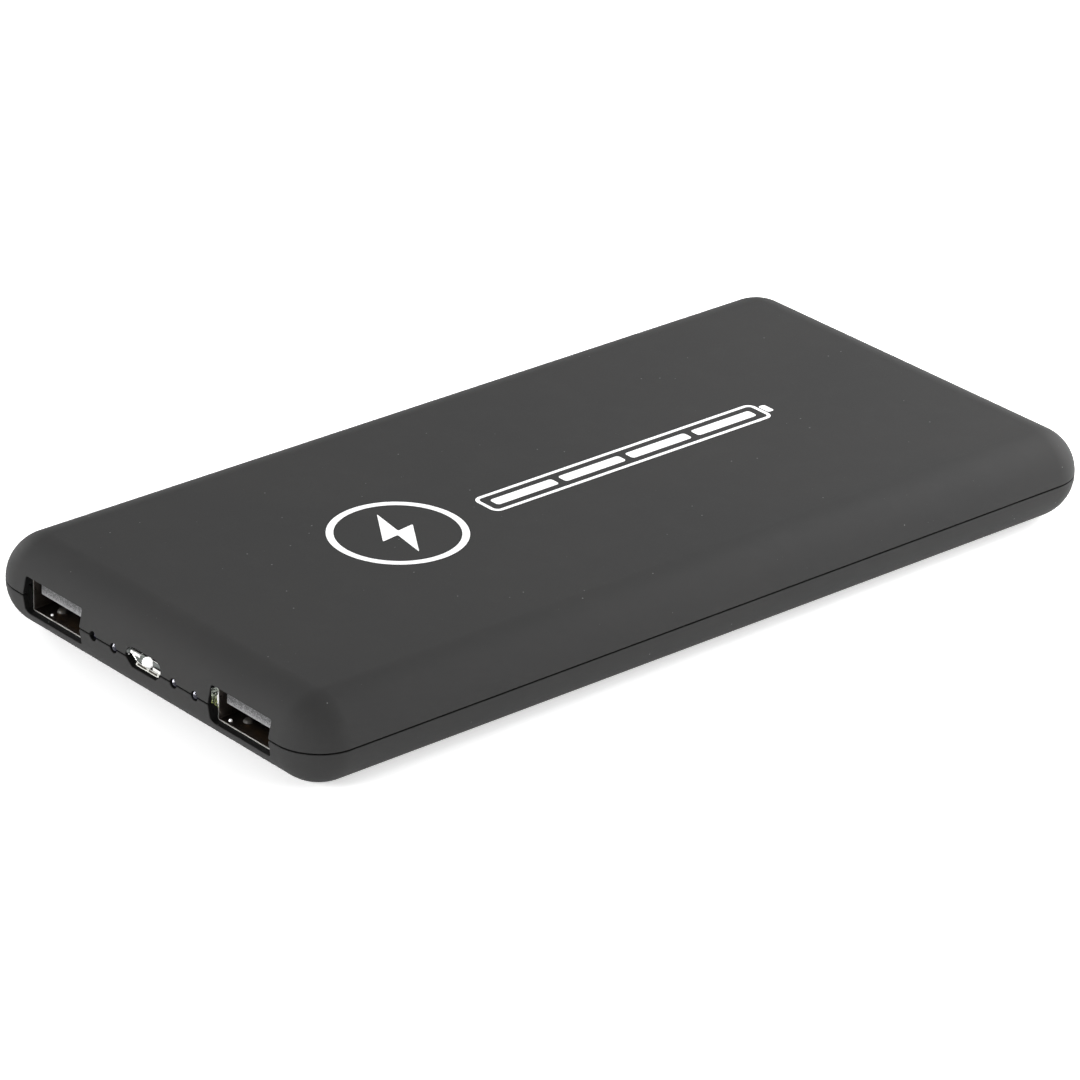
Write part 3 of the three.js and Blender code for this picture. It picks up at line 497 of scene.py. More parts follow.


def shell_layer(surface, half, base, outer_depth, inner_depth, softness):
    """A closed layer of a half shell between two depths, from base to the flat cap, with its openings."""
    port, between, button, home = seam_columns()
    port_end, side = openings(half)
    edge = lower_edge(port, port_end, base) + [(s, base) for s in between]
    edge += lower_edge(button, side, base) + [(s, base) for s in home]
    moves = miters(edge)
    columns = port + between + button + home
    outside = BARE_AND_SHADED if outer_depth else PAINTED

    def ring_at(offset, depth, form):
        """The edge, moved by offset into the material and by depth inwards from a form."""
        indices = []
        for (s, h), move in zip(edge, moves):
            a, b = s + move[0] * offset, h + move[1] * offset
            indices.append(surface.add(half.point(a, b, half.inset(b, form) + depth)))
        return indices

    # The rim curves from the outer form over the softened edge to the wall, which ends at the inner form.
    surface.slot = outside
    rim_steps = 4
    rings, ring_normals = [], []
    for k in range(rim_steps + 1):
        angle = pi / 2 * k / rim_steps
        sine, cosine = sin(angle), cos(angle)
        rings.append(ring_at(softness * (1 - sine), softness * (1 - cosine), outer_depth))
        ring_normals.append([
            half.normal(s, h, outer_depth) * cosine - half.sideways(s, move.normalized()) * sine
            for (s, h), move in zip(edge, moves)
        ])
    for k in range(rim_steps):
        surface.strip(rings[k + 1], rings[k], ring_normals[k + 1], ring_normals[k])
    surface.slot = BARE_AND_SHADED
    inner_ring = ring_at(0, 0, inner_depth)
    surface.strip(inner_ring, rings[-1], ring_normals[-1], ring_normals[-1])

    layout = (surface, half, base, edge, moves, columns, (port, button))
    surface.slot = outside
    skin(*layout, outer_depth, rings[0], softness, False)
    surface.slot = BARE_AND_SHADED
    skin(*layout, inner_depth, inner_ring, 0, True)


def skin(surface, half, base, edge, moves, columns, windows, depth, ring, offset, flip):
    """The outer or inner face of a layer: quads, with triangles round the openings, and the flat cap."""
    radius = half.radius - depth
    rows = []
    for j in range(half.ROWS + 1):
        tilt = pi / 2 * j / half.ROWS
        height = SIDE_BAND + radius * sin(tilt)
        if height > base + offset + 0.12:
            rows.append((height, depth + radius * (1 - cos(tilt))))
    window_top = next(i for i, (height, _) in enumerate(rows) if height > WINDOW_HEIGHT)
    outward = {}

    def put(corners):
        corners = corners[::-1] if flip else corners
        surface.face(corners, [-outward[c] if flip else outward[c] for c in corners])

    def in_a_window(s):
        return any(w[0] + NEAR < s < w[-1] - NEAR for w in windows)

    grid = []
    for i, (height, inset) in enumerate(rows):
        row = {}
        for s in columns:
            if i >= window_top or not in_a_window(s):
                row[s] = surface.add(half.point(s, height, inset))
                outward[row[s]] = half.normal(s, height, depth)
        grid.append(row)

    # Plain columns, from the rim up to the windows' top row, then all columns up to the cap.
    rim_at = {}
    for (s, h), index in zip(edge, ring):
        if h <= base + NEAR:
            rim_at.setdefault(round(s, 6), index)
            outward[index] = half.normal(s, h + offset, depth)
    for a, b in zip(columns, columns[1:] + columns[:1]):
        plain = not in_a_window(a) and not in_a_window(b)
        if plain:
            put([rim_at[round(a, 6)], rim_at[round(b, 6)], grid[0][b], grid[0][a]])
        for i in range(0 if plain else window_top, len(rows) - 1):
            put([grid[i][a], grid[i][b], grid[i + 1][b], grid[i + 1][a]])

    for window in windows:
        first, last = window[0], window[-1]
        start, end = (next(i for i, (s, _) in enumerate(edge) if abs(s - x) < NEAR) for x in (first, last))
        rim = [
            (s + move[0] * offset, h + move[1] * offset)
            for (s, h), move in zip(edge[start:end + 1], moves[start:end + 1])
        ]
        frame_points = [(last, i) for i in range(window_top)]
        frame_points += [(s, window_top) for s in reversed(window)]
        frame_points += [(first, i) for i in reversed(range(window_top))]
        boundary = rim + [(s, rows[i][0]) for s, i in frame_points]
        known = ring[start:end + 1] + [grid[i][s] for s, i in frame_points]
        within = [
            p for p in ((s, rows[i][0]) for i in range(window_top) for s in window[1:-1])
            if inside(p, boundary) and clearance(p, rim) > FACE_CLEARANCE
        ]
        made = delaunay_2d_cdt(
            [Vector(p) for p in boundary + within], [], [list(range(len(boundary)))], 1, 1e-7
        )
        index_of = []
        for p, sources in zip(made[0], made[3]):
            index = next((known[k] for k in sources if k < len(known)), None)
            if index is None:
                index = surface.add(half.point(p[0], p[1], half.inset(p[1], depth)))
            outward[index] = half.normal(p[0], p[1], depth)
            index_of.append(index)
        for triangle in made[2]:
            put([index_of[k] for k in triangle])

    # The flat cap, with a narrow band round it so that its shading stays flat.
    top_height, top_inset = rows[-1]
    band = [surface.add(half.point(s, top_height, top_inset + CAP_BAND)) for s in columns]
    for index in (*band, *grid[-1].values()):
        outward[index] = Vector((0, 0, half.up))
    for i, a in enumerate(columns):
        j = (i + 1) % len(columns)
        put([grid[-1][a], grid[-1][columns[j]], band[j], band[i]])
    put(band)


# --- Materials ---


class Nodes:
    """A node tree. Inputs are given by name, as a value or as the output that feeds them."""

    def __init__(self, tree):
        self.tree = tree

    def feed(self, socket, value):
        if isinstance(value, bpy.types.NodeSocket):
            self.tree.links.new(value, socket)
        else:
            socket.default_value = value

    def node(self, kind, **inputs):
        made = self.tree.nodes.new(kind)
        for socket, value in inputs.items():
            self.feed(made.inputs[socket.replace("_", " ")], value)
        return made

    def ramp(self, value, low, high, start=0.0, end=1.0):
        """value taken from start..end to low..high."""
        limits = {"From Min": start, "From Max": end, "To Min": low, "To Max": high}
        return self.node("ShaderNodeMapRange", Value=value, **limits).outputs["Result"]


class Finish(Nodes):
    """A material around one Principled shader. Colours are red, green and blue."""

    def __init__(self, name, **settings):
        self.material = bpy.data.materials.new(name)
        self.material.use_nodes = True
        super().__init__(self.material.node_tree)
        self.shader = self.tree.nodes["Principled BSDF"]
        self.coordinates = self.node("ShaderNodeTexCoord").outputs["Object"]
        self.set(**settings)

    def set(self, **sockets):
        for socket, value in sockets.items():
            self.feed(self.shader.inputs[socket.replace("_", " ")], value)

    def height(self):
        return self.node("ShaderNodeSeparateXYZ", Vector=self.coordinates).outputs["Z"]

    def noise(self, size, detail=3.0, roughness=0.55, stretch=(1, 1, 1)):
        """Noise whose grains are about size millimetres across."""
        place = self.node("ShaderNodeMapping", Vector=self.coordinates, Scale=stretch).outputs["Vector"]
        settings = {"Scale": 1 / (size * MM), "Detail": detail, "Roughness": roughness}
        return self.node("ShaderNodeTexNoise", Vector=place, **settings).outputs["Fac"]

    def cells(self, size):
        return self.node("ShaderNodeTexVoronoi", Vector=self.coordinates, Scale=1 / (size * MM)).outputs

    def math(self, operation, a, b):
        made = self.node("ShaderNodeMath")
        made.operation = operation
        self.feed(made.inputs[0], a)
        self.feed(made.inputs[1], b)
        return made.outputs["Value"]

    def mix(self, share, a, b):
        """Colour a, turning into b as share goes from 0 to 1."""
        made = self.node("ShaderNodeMix")
        made.data_type = "RGBA"
        self.feed(made.inputs["Factor"], share)
        for socket, colour in zip(made.inputs[6:8], (a, b)):
            self.feed(socket, (*colour, 1) if isinstance(colour, tuple) else colour)
        return made.outputs[2]

    def tint(self, value, start, end, a, b, most=1.0):
        """The base colour: a, turning into b by up to most as value goes from start to end."""
        self.set(Base_Color=self.mix(self.ramp(value, 0, most, start, end), a, b))

    def gloss(self, value, low, high, start=0.3, end=0.7):
        """Roughness that follows value, from low to high."""
        self.set(Roughness=self.ramp(value, low, high, start, end))

    def bump(self, height, depth, strength=1.0):
        """height is in 0..1, and depth is how deep that is, in millimetres."""
        previous = self.shader.inputs["Normal"].links
        made = self.node("ShaderNodeBump", Height=height, Distance=depth * MM, Strength=strength)
        if previous:
            self.tree.links.new(previous[0].from_socket, made.inputs["Normal"])
        self.tree.links.new(made.outputs["Normal"], self.shader.inputs["Normal"])
        return self


def grey(value, warm=0.0):
    return (value * (1 + warm), value, value * (1 - warm))


def scaled(colour, share):
    return tuple(c * share for c in colour)


def speckle(finish, spacing, size, share):
    """1 in small round specks, one in a share of the cells of an irregular grid about spacing across."""
    cells = finish.cells(spacing)
    red = finish.node("ShaderNodeSeparateColor", Color=cells["Color"]).outputs["Red"]
    spot = finish.ramp(cells["Distance"], 1, 0, size * 0.35 / spacing, size * 0.6 / spacing)
    return finish.math("MULTIPLY", finish.math("LESS_THAN", red, share), spot)


def soft_touch(name="soft_touch", value=0.0315, roughness=0.62):
    """Rubbery matt paint: a fine even grain, faint cloudy handling marks, and a little dust and lint."""
    finish = Finish(name, Specular_IOR_Level=0.04, Sheen_Weight=0.005, Sheen_Roughness=0.45)
    cloud = finish.noise(22, 4)
    grain = finish.noise(0.16, 2)
    rub = finish.noise(6, 5, 0.65)
    dust = finish.math("MULTIPLY", speckle(finish, 1.6, 0.22, 0.1), 0.26)
    lint = finish.math("MULTIPLY", speckle(finish, 0.6, 0.09, 0.03), 0.16)
    base = finish.mix(finish.ramp(cloud, 0, 1, 0.3, 0.7), grey(value * 0.98), grey(value * 1.03, 0.01))
    base = finish.mix(finish.ramp(rub, 0, 0.04, 0.5, 0.75), base, grey(value * 1.8))
    finish.set(Base_Color=finish.mix(finish.math("MAXIMUM", dust, lint), base, grey(0.4)))
    worn = finish.ramp(rub, roughness, roughness - 0.03, 0.45, 0.75)
    finish.set(Roughness=finish.math("ADD", finish.ramp(grain, -0.04, 0.04, 0.3, 0.7), worn))
    finish.bump(grain, 0.006, 0.7)
    return finish.bump(finish.noise(1.1, 2), 0.004, 0.35).material


def moulded_plastic(name, colour, roughness=0.5):
    """Plain injection-moulded plastic with a faint grain and uneven gloss."""
    finish = Finish(name, Specular_IOR_Level=0.45)
    cloud = finish.noise(1.6, 3)
    finish.tint(cloud, 0.3, 0.7, colour, scaled(colour, 0.86))
    finish.gloss(cloud, roughness - 0.06, roughness + 0.06)
    return finish.bump(finish.noise(0.12, 2), 0.004, 0.6).material


def sheet_metal(name, colour, roughness=0.3, drawn=(1, 0.06, 1)):
    """Plated sheet, with fine drawing lines along one direction and a little tarnish."""
    finish = Finish(name, Metallic=1.0)
    lines = finish.noise(0.1, 3, 0.6, drawn)
    tarnish = finish.noise(1.4, 4)
    finish.tint(tarnish, 0.45, 0.75, colour, scaled(colour, 0.62), 0.8)
    dull = finish.ramp(tarnish, roughness - 0.06, roughness + 0.1, 0.35, 0.7)
    finish.set(Roughness=finish.math("ADD", finish.ramp(lines, -0.06, 0.08, 0.3, 0.7), dull))
    return finish.bump(lines, 0.003, 0.6).material


def patchy(name, size, colours, span, roughness, bump, **settings):
    """Patches about size across, which go from one colour to the other as the noise crosses span."""
    finish = Finish(name, **settings)
    cloud = finish.noise(size, 3)
    finish.tint(cloud, *span, *colours)
    finish.gloss(cloud, *roughness)
    return finish.bump(cloud, *bump).material


def shield_tape_painted_glints():
    """Crinkled foil, green towards the bottom where the board's lacquer has crept over it, with pale patches
    on a near-black ground that are painted glints beside the foil's own reflections.
    """
    finish = Finish("shield_tape_painted_glints", Metallic=0.65)
    crinkles_and_painted_glints = finish.noise(0.3, 5, 0.65)
    low = finish.ramp(finish.height(), 1, 0, 7.2 * MM, 8.6 * MM)
    green = finish.mix(low, (0.72, 0.78, 0.7), (0.48, 0.55, 0.18))
    # The pale patches on the near-black ground are painted glints.
    finish.set(Base_Color=finish.mix(finish.ramp(crinkles_and_painted_glints, 1, 0, 0.47, 0.56), green, (0.03, 0.034, 0.028)))
    finish.gloss(finish.noise(0.15, 3), 0.16, 0.4)
    return finish.bump(crinkles_and_painted_glints, 0.05, 0.8).material


def print_ink():
    """Screen-printed white: slightly uneven cover over the paint."""
    finish = Finish("white_ink", Specular_IOR_Level=0.35)
    cover = finish.noise(0.35, 3)
    finish.tint(cover, 0.55, 0.8, grey(0.86), grey(0.55), 0.22)
    finish.gloss(finish.noise(3.5, 4), 0.42, 0.6)
    return finish.bump(cover, 0.004, 0.6).material


def board_finish():
    """Green solder mask over traces."""
    finish = Finish("solder_mask", Coat_Weight=0.4, Coat_Roughness=0.2)
    traces = finish.noise(1.8, 2, 0.4, (1, 0.3, 1))
    finish.tint(traces, 0.48, 0.52, (0.012, 0.07, 0.03), (0.03, 0.13, 0.06))
    finish.gloss(finish.noise(0.5, 3), 0.3, 0.5)
    return finish.bump(traces, 0.02, 0.5).material


def tongue_plastic():
    """Light grey moulding, darker higher up under the sleeve as painted shade, with a dusty mottle that grows
    upwards.
    """
    finish = Finish("tongue_grey", Specular_IOR_Level=0.4)
    height = finish.height()
    cloud = finish.noise(0.7, 4)
    # rise darkens the moulding from its lower edge upwards: painted shade under the sleeve's overhang.
    rise = finish.math("POWER", finish.ramp(height, 0, 1, 6.8 * MM, 7.9 * MM), 0.6)
    dust = finish.ramp(finish.noise(0.2, 2, 0.7), -0.5, 0.5, 0.36, 0.64)
    dust = finish.math("MULTIPLY", dust, finish.ramp(height, 0.3, 1, 6.8 * MM, 7.7 * MM))
    dust = finish.math("ADD", dust, finish.ramp(cloud, -0.06, 0.06, 0.3, 0.7))
    finish.tint(finish.math("ADD", rise, dust), 0, 1, (0.25, 0.25, 0.255), (0.045, 0.045, 0.046))
    finish.gloss(cloud, 0.58, 0.7)
    return finish.bump(finish.noise(0.12, 2), 0.005, 0.6).material


def foam_finish():
    finish = Finish("foam", Specular_IOR_Level=0.2)
    cells = finish.cells(0.5)["Distance"]
    finish.set(Base_Color=finish.mix(cells, grey(0.016), grey(0.05)), Roughness=finish.ramp(cells, 0.95, 0.8))
    return finish.bump(cells, 0.15).material


def studio_floor():
    """A white sweep that glows a little, and more so away from the object, where the lamps don't reach."""
    finish = Finish("floor", Specular_IOR_Level=0.1, Roughness=0.9, Emission_Color=(1, 1, 1, 1))
    distance = finish.node("ShaderNodeVectorMath")
    distance.operation = "LENGTH"
    finish.feed(distance.inputs[0], finish.coordinates)
    finish.set(
        Base_Color=finish.mix(finish.noise(90, 2), grey(0.9), grey(0.93)),
        Emission_Strength=finish.ramp(distance.outputs["Value"], 0.42, 0.8, 0.2, 0.7),
    )
    return finish.material


FINISHES = {  # by material slot
    "soft_touch_shell": soft_touch(),
    "button_plastic": soft_touch("button_rubber", 0.038, 0.5),
    "socket_metal": sheet_metal("sleeve_tin", (0.62, 0.6, 0.56), 0.16),
    "socket_plastic": tongue_plastic(),
    "black_plastic": moulded_plastic("black_plastic", (0.012, 0.012, 0.013)),
    "contact_gold": sheet_metal("contact_gold", (0.78, 0.52, 0.2), 0.24),
    "board_green": board_finish(),
    "light_body": moulded_plastic("light_body", (0.5, 0.49, 0.44)),
    "clear_lens": patchy(
        "smoked_plastic", 0.4, ((0.012, 0.012, 0.026), (0.007, 0.007, 0.014)), (0.4, 0.6), (0.12, 0.24),
        (0.002, 0.4), IOR=1.52, Transmission_Weight=0.1, Specular_IOR_Level=0.3,
    ),
    "cell_pouch": sheet_metal("pouch_foil", (0.5, 0.51, 0.53), 0.42),
    "nickel": sheet_metal("nickel", (0.6, 0.59, 0.56)),
    "foam": foam_finish(),
    "ferrite": moulded_plastic("ferrite", (0.05, 0.05, 0.055), 0.75),
    "capacitor_can": sheet_metal("capacitor_can", (0.66, 0.67, 0.68)),
    "screw_steel": sheet_metal("screw_steel", (0.32, 0.32, 0.33), 0.34),
}
SHADED_SHELL_INSIDE = soft_touch("shell_inside_painted_shade", 0.009, 0.7)  # bare plastic where the paint ends, darker than the paint as painted shade in the seam's gap and the openings' walls
# Dark copies of the sleeve's tin for its inside and its dimples: painted shade in the socket's cavity.
SHADED_SLEEVE_INSIDE = sheet_metal("sleeve_inside_painted_shade", (0.085, 0.072, 0.064), 0.34)
SHADED_DIMPLE_TIN = sheet_metal("dimple_tin_painted_shade", (0.1, 0.097, 0.092), 0.62)
# A lit copy of the tin for the sleeves' front edges: painted highlight.
LIT_EDGE_TIN = sheet_metal("edge_tin_painted_highlight", (0.84, 0.84, 0.8), 0.42)
# Lit and shaded copies of the tin for the micro-USB socket: painted highlight, painted shade and painted
# shadow.
SHADED_TIN = sheet_metal("tin_painted_shade", (0.3, 0.32, 0.3), 0.38)
DEEP_SHADED_TIN = sheet_metal("tin_painted_deep_shade", (0.16, 0.17, 0.165), 0.4)
LIP_TIN = sheet_metal("lip_tin", (0.44, 0.44, 0.41), 0.42)
SHADOW_TIN = sheet_metal("tin_painted_shadow", (0.05, 0.045, 0.04), 0.5)
LIT_TIN = sheet_metal("tin_painted_highlight", (0.86, 0.86, 0.84), 0.22, (0.06, 1, 1))
SHIELD_TAPE_PAINTED_GLINTS = shield_tape_painted_glints()
# Glowing near-white for the pips, the bead and the micro-USB stop: painted highlights.
GLOWING_HIGHLIGHT = patchy(
    "glowing_painted_highlight", 0.25, (grey(0.97), grey(0.9)), (0.4, 0.7), (0.3, 0.45), (0.003, 0.5),
    Metallic=0.15, Emission_Color=(1, 1, 1, 1), Emission_Strength=0.25,
)
LENS_HIGHLIGHT = patchy(  # a pale spot on a lens: a painted highlight
    "lens_painted_highlight", 0.3, ((0.9, 0.9, 0.95), (0.7, 0.7, 0.85)), (0.4, 0.7), (0.2, 0.35), (0.002, 0.4),
    Coat_Weight=0.5, Coat_Roughness=0.1,
)


def dress_cad_nodes():
    """Every CAD node gets the finish of its own material slot."""
    for part in frame["record"]["subparts"]:
        materials = frame["nodes"][part["node"]].data.materials
        materials.clear()
        materials.append(FINISHES[part["material_slot"]])


def place(surface, name, slot, *nodes, body="body", materials=None, smooth=40):
    """The surface as a piece on a body, in its slot's finish unless told otherwise, in place of CAD nodes."""
    obj = surface.make(name, materials or [FINISHES[slot]], smooth)
    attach(obj, body)
    if nodes:
        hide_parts(*nodes)
    return obj


# --- The shells ---

TOP = Half(1, HALF_HEIGHT - INK)
BOTTOM = Half(-1, HALF_HEIGHT)


def make_shell(name, half, node, layers):
    surface = Surface(mirrored=half.up < 0)
    for layer in layers:
        shell_layer(surface, half, *layer)
    materials = [FINISHES["soft_touch_shell"], SHADED_SHELL_INSIDE]
    place(surface, name, "soft_touch_shell", node, materials=materials, smooth=None)


make_shell("top_shell", TOP, "top_cover", (
    (SEAM_HALF, 0, STEP_INSET, EDGE_SOFTNESS),
    (STEP_RISE, STEP_INSET - 0.02, WALL, 0.02),
))
make_shell("bottom_shell", BOTTOM, "bottom_cover", (
    (SEAM_HALF, 0, LIP_OUTER + 0.02, EDGE_SOFTNESS),
    (-LIP_RISE, LIP_OUTER, WALL, 0.05),
))


# --- The button ---


def make_button():
    """A rounded cap that follows the body's side, on a flange, with a stem that meets the switch."""
    low, high = node_box("power_button")
    flange_x = high.x - 1.65
    flange_half = BUTTON_LENGTH / 2 + 1.2
    stem_width, stem_height, stem_z = 3.0, 2.2, 7.7
    rim = 0.25
    form = Half(1, HALF_HEIGHT)

    def ring(shrink, sink):
        size = (BUTTON_LENGTH - 2 * shrink, BUTTON_HEIGHT - 2 * shrink)
        face = sink - HALF_WIDTH + BUTTON_SINK
        return [
            (face + form.inset(abs(z - SEAM_Z), 0), y, z)
            for y, z in slot_outline(*size, (BUTTON_Y, SEAM_Z), 16)
        ]

    surface = Surface()
    rings = [[(x, y, z) for _, y, z in ring(0, 0)] for x in (flange_x + 0.3, 0.9 - HALF_WIDTH)]
    for k in range(6):
        angle = pi / 2 * k / 5
        rings.append(ring(rim * (1 - cos(angle)), rim * (1 - sin(angle))))
    rings += [ring(shrink, 0) for shrink in (0.6, 1.0, 1.4, 1.62)]
    surface.rings(rings)
    surface.box(
        (flange_x, BUTTON_Y - flange_half, low.z), (flange_x + 0.8, BUTTON_Y + flange_half, high.z), 0.15
    )
    surface.box(
        (flange_x + 0.7, BUTTON_Y - stem_width / 2, stem_z - stem_height / 2),
        (high.x, BUTTON_Y + stem_width / 2, stem_z + stem_height / 2), 0.1,
    )
    place(surface, "button_cap", "button_plastic", "power_button", body="power_button")


def make_snap_dome():
    """The switch's springy disc, which gives way as the plunger comes down on it."""
    low, high = node_box("switch_dome")
    middle = (low + high) / 2
    reach, rise = (high.y - low.y) / 2, high.x - low.x
    surface = Surface()
    surface.rings([
        [(high.x - rise * height, y, z) for y, z in circle((middle.y, middle.z), reach * share, 32)]
        for share, height in ((1, 0), (1, 0.3), (0.9, 0.5), (0.75, 0.7), (0.55, 0.86), (0.3, 0.97), (0.1, 1))
    ])
    dome = place(surface, "switch_snap_dome", "nickel", "switch_dome")
    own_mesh(dome)


# --- The sockets ---

# The raised point near the front of each sleeve's floor, in glowing white as a painted highlight: its place
# across the sleeve, and its radius.
PIPS = {"left": (-3.0, 0.2), "right": (-4.7, 0.27)}
USB_OUTSIDE, USB_SHADED_INSIDE, USB_SHADED_DIMPLE, USB_LIT_EDGE, USB_HIGHLIGHT = range(5)  # the sleeves' materials: the tin, a dark copy inside and on the dimples as painted shade, a lit copy on the front edge and a glowing white as painted highlights


def board_tabs(surface, centre_x, reach, starts, length, top):
    """A socket's soldering tabs, on the board at both of its sides."""
    for side in (-1, 1):
        x0, x1 = sorted(centre_x + side * x for x in reach)
        for y in starts:
            surface.box((x0, y, 6.0), (x1, y + length, top), 0.05)


def make_usb_sleeve(name, centre_x):
    """The folded sleeve: softened front edge, dimples pressed into its floor, tabs on the board."""
    centre_x += USB_SHIFT
    front, back, edge, bend = USB_LIP_Y, USB_BACK_Y - 1.5, 0.05, 0.015

    def outline(inset):
        radius = max(USB_CORNER - inset, 0.12)
        return rounded_rectangle(USB_WIDTH - 2 * inset, USB_HEIGHT - 2 * inset, radius, (centre_x, USB_Z))

    surface = Surface()
    steps = [(0, back), (0, front + edge), (bend, front + bend), (edge, front)]
    steps += [(USB_SHEET - inset, y) for inset, y in reversed(steps)]
    # The front edge takes the lit copy of the tin, a painted highlight, and the inside the dark copy, painted
    # shade.
    slots = (*[USB_OUTSIDE] * 3, USB_LIT_EDGE, *[USB_SHADED_INSIDE] * 3, USB_OUTSIDE)
    surface.loop([upright(outline(inset), y) for inset, y in steps], slots)
    floor_z = USB_Z - USB_HEIGHT / 2 + USB_SHEET - 0.05
    # The dimples take a dark copy of the tin: painted shade.
    surface.slot = USB_SHADED_DIMPLE
    for offset in (-3.0, 3.2):
        surface.rings(boss((centre_x + offset, USB_FRONT_Y + 2.4), floor_z, 0.85, 0.45, 6))
    # The pip, and on the right sleeve a bead up its front flank, are glowing white: painted highlights.
    surface.slot = USB_HIGHLIGHT
    pip_x, radius = PIPS[name]
    surface.rings(boss((centre_x + pip_x, USB_FRONT_Y + 0.5), floor_z, radius, radius, 12))
    if name == "right":
        surface.rings(spindle((centre_x - USB_WIDTH / 2 + 0.1, USB_LIP_Y - 0.04), 6.2, 8.5, 0.18))
    surface.slot = USB_OUTSIDE
    flank = USB_WIDTH / 2 - 0.15
    board_tabs(surface, centre_x, (flank, flank + 1.4), (USB_FRONT_Y + 3.2, USB_FRONT_Y + 7.2), 1.5, 6.3)
    materials = [FINISHES["socket_metal"], SHADED_SLEEVE_INSIDE, SHADED_DIMPLE_TIN, LIT_EDGE_TIN, GLOWING_HIGHLIGHT]
    place(surface, f"usb_a_{name}_sleeve", "socket_metal", f"usb_a_{name}_shell", materials=materials)


def make_shield_flap():
    """A crinkled end of shielding tape between the right USB-A socket and the top shell's cut-out."""
    wall_x = USB_X + MOUTH_SHIFT - MOUTH_WIDTH / 2 + 0.03
    rows, columns = 20, 12
    surface = Surface()

    def point(i, j, side):
        bottom = SEAM_Z + 0.1 - 1.05 * min(1, max(0, 1.6 * (1 - j / columns) - 0.25))
        crinkle = 0.05 * sin(i * 1.9 + j * 0.8) + 0.045 * sin(i * 0.7 - j * 2.3)
        crinkle += 0.03 * sin(i * 3.1 + j * 1.7)
        x = wall_x + 0.12 + (crinkle + 0.05) * (1 - 0.2 * side) - 0.06 * side
        return x, USB_FRONT_Y - 0.05 - 1.35 * j / columns, bottom + (9.4 - bottom) * i / rows

    front, back = (
        [[surface.add(point(i, j, side)) for j in range(columns + 1)] for i in range(rows + 1)]
        for side in (0, 1)
    )
    for i in range(rows):
        surface.strip(front[i], front[i + 1], closed=False)
        surface.strip(back[i + 1], back[i], closed=False)
    surface.strip(back[0], front[0], closed=False)
    surface.strip(front[-1], back[-1], closed=False)
    for low, high, column in ((front, back, 0), (back, front, -1)):
        surface.strip([row[column] for row in low], [row[column] for row in high], closed=False)
    place(surface, "usb_a_shield_tape", "socket_metal", materials=[SHIELD_TAPE_PAINTED_GLINTS], smooth=35)


def spindle(centre, low_z, high_z, radius):
    """Rings of an upright bead that is thickest above its middle."""
    rings = []
    for k in range(13):
        share = k / 12
        reach = radius * sin(pi * share ** 1.2) ** 0.7 if 0 < k < 12 else 0.01
        rings.append(level(circle(centre, reach, 12), low_z + (high_z - low_z) * share))
    return rings


def boss(centre, base, radius, rise, sides):
    """Rings of a low rounded boss that stands on base. One with few sides shows them."""
    rings = []
    for share, height in ((1.0, 0.0), (0.98, 0.35), (0.86, 0.75), (0.68, 0.95), (0.35, 1.0)):
        ring = []
        for k, (x, y) in enumerate(circle((0, 0), radius * share, sides * 3)):
            reach = 1 if k % 3 == 0 or sides >= 10 else 0.93
            ring.append((centre[0] + reach * x, centre[1] + reach * y, base + (rise + 0.05) * height))
        rings.append(ring)
    return rings


def make_usb_insulator(name, centre_x):
    """The light tongue and the block behind it."""
    low, high = node_box(f"usb_a_{name}_insulator")
    tongue_half, tongue_low, tongue_high = 5.55, 6.75, 8.6
    block_y = USB_FRONT_Y + 9.25
    middle = centre_x + TONGUE_SHIFT
    surface = Surface()
    surface.box(
        (middle - tongue_half, low.y, tongue_low), (middle + tongue_half, block_y + 0.5, tongue_high), 0.1
    )
    surface.box((low.x, block_y, low.z), high, 0.1)
    place(surface, f"usb_a_{name}_tongue", "socket_plastic", f"usb_a_{name}_insulator", smooth=30)


def make_spring(name, node, x, head, tail, half_width, thickness):
    """A contact through (y, z) points: its head's from the node's front end, its tail's from the back end."""
    low, high = node_box(node)
    path = [(x, low.y + y, z) for y, z in head] + [(x, high.y + y, z) for y, z in tail]
    surface = Surface()
    surface.bar(path, (1, 0, 0), half_width, thickness)
    place(surface, name, "contact_gold", node)


def make_usb_contacts(name, centre_x):
    """Springs that bow down from under the tongue, with their tails stepped down to the board."""
    head = (
        (0.05, 6.5), (0.55, 6.2), (1.05, 5.9), (1.55, 5.78),
        (2.15, 5.82), (3.45, 6.08), (4.85, 6.34), (6.15, 6.5),
    )
    tail = ((-1.15, 6.5), (-0.95, 6.2), (-0.75, 6.13), (0, 6.13))
    for number, offset in enumerate((-3.5, -1, 1, 3.5), 1):
        node = f"usb_a_{name}_contact_{number}"
        make_spring(f"usb_a_{name}_spring_{number}", node, centre_x + offset, head, tail, 0.5, 0.2)


def make_micro_sleeve():
    """The folded sleeve of the micro-USB socket."""
    front, edge = MICRO_FRONT_Y + 0.55, 0.05
    surface = Surface()
    steps = [(0, MICRO_BACK_Y), (0, front + edge), (edge, front)]
    steps += [(MICRO_SHEET - inset, y) for inset, y in reversed(steps)]
    surface.loop([upright(micro_outline(-inset, 0.3, 4), y) for inset, y in steps])
    board_tabs(surface, 0, (2.25, 4.65), (-73.1, -71.0), 0.9, 6.25)
    # The sleeve is in the lit copy of the tin: a painted highlight.
    place(surface, "micro_usb_sleeve", "socket_metal", "micro_usb_shell", materials=[LIT_TIN])


LIP_TOP = Vector((0, -75.22, 6.70))  # the top edge of the lower lip, which leans forward below it
LIP_DOWN = Vector((0, -0.379, -0.926))
LIP_OUT = Vector((0, -0.926, 0.379))
LIP_LIT, LIP_SHADED, LIP_DEEP_SHADED, LIP_PLAIN, LIP_SHADOW = range(5)  # the lips' materials: lit and shaded copies of one tin, as painted highlight, painted shade and painted shadow
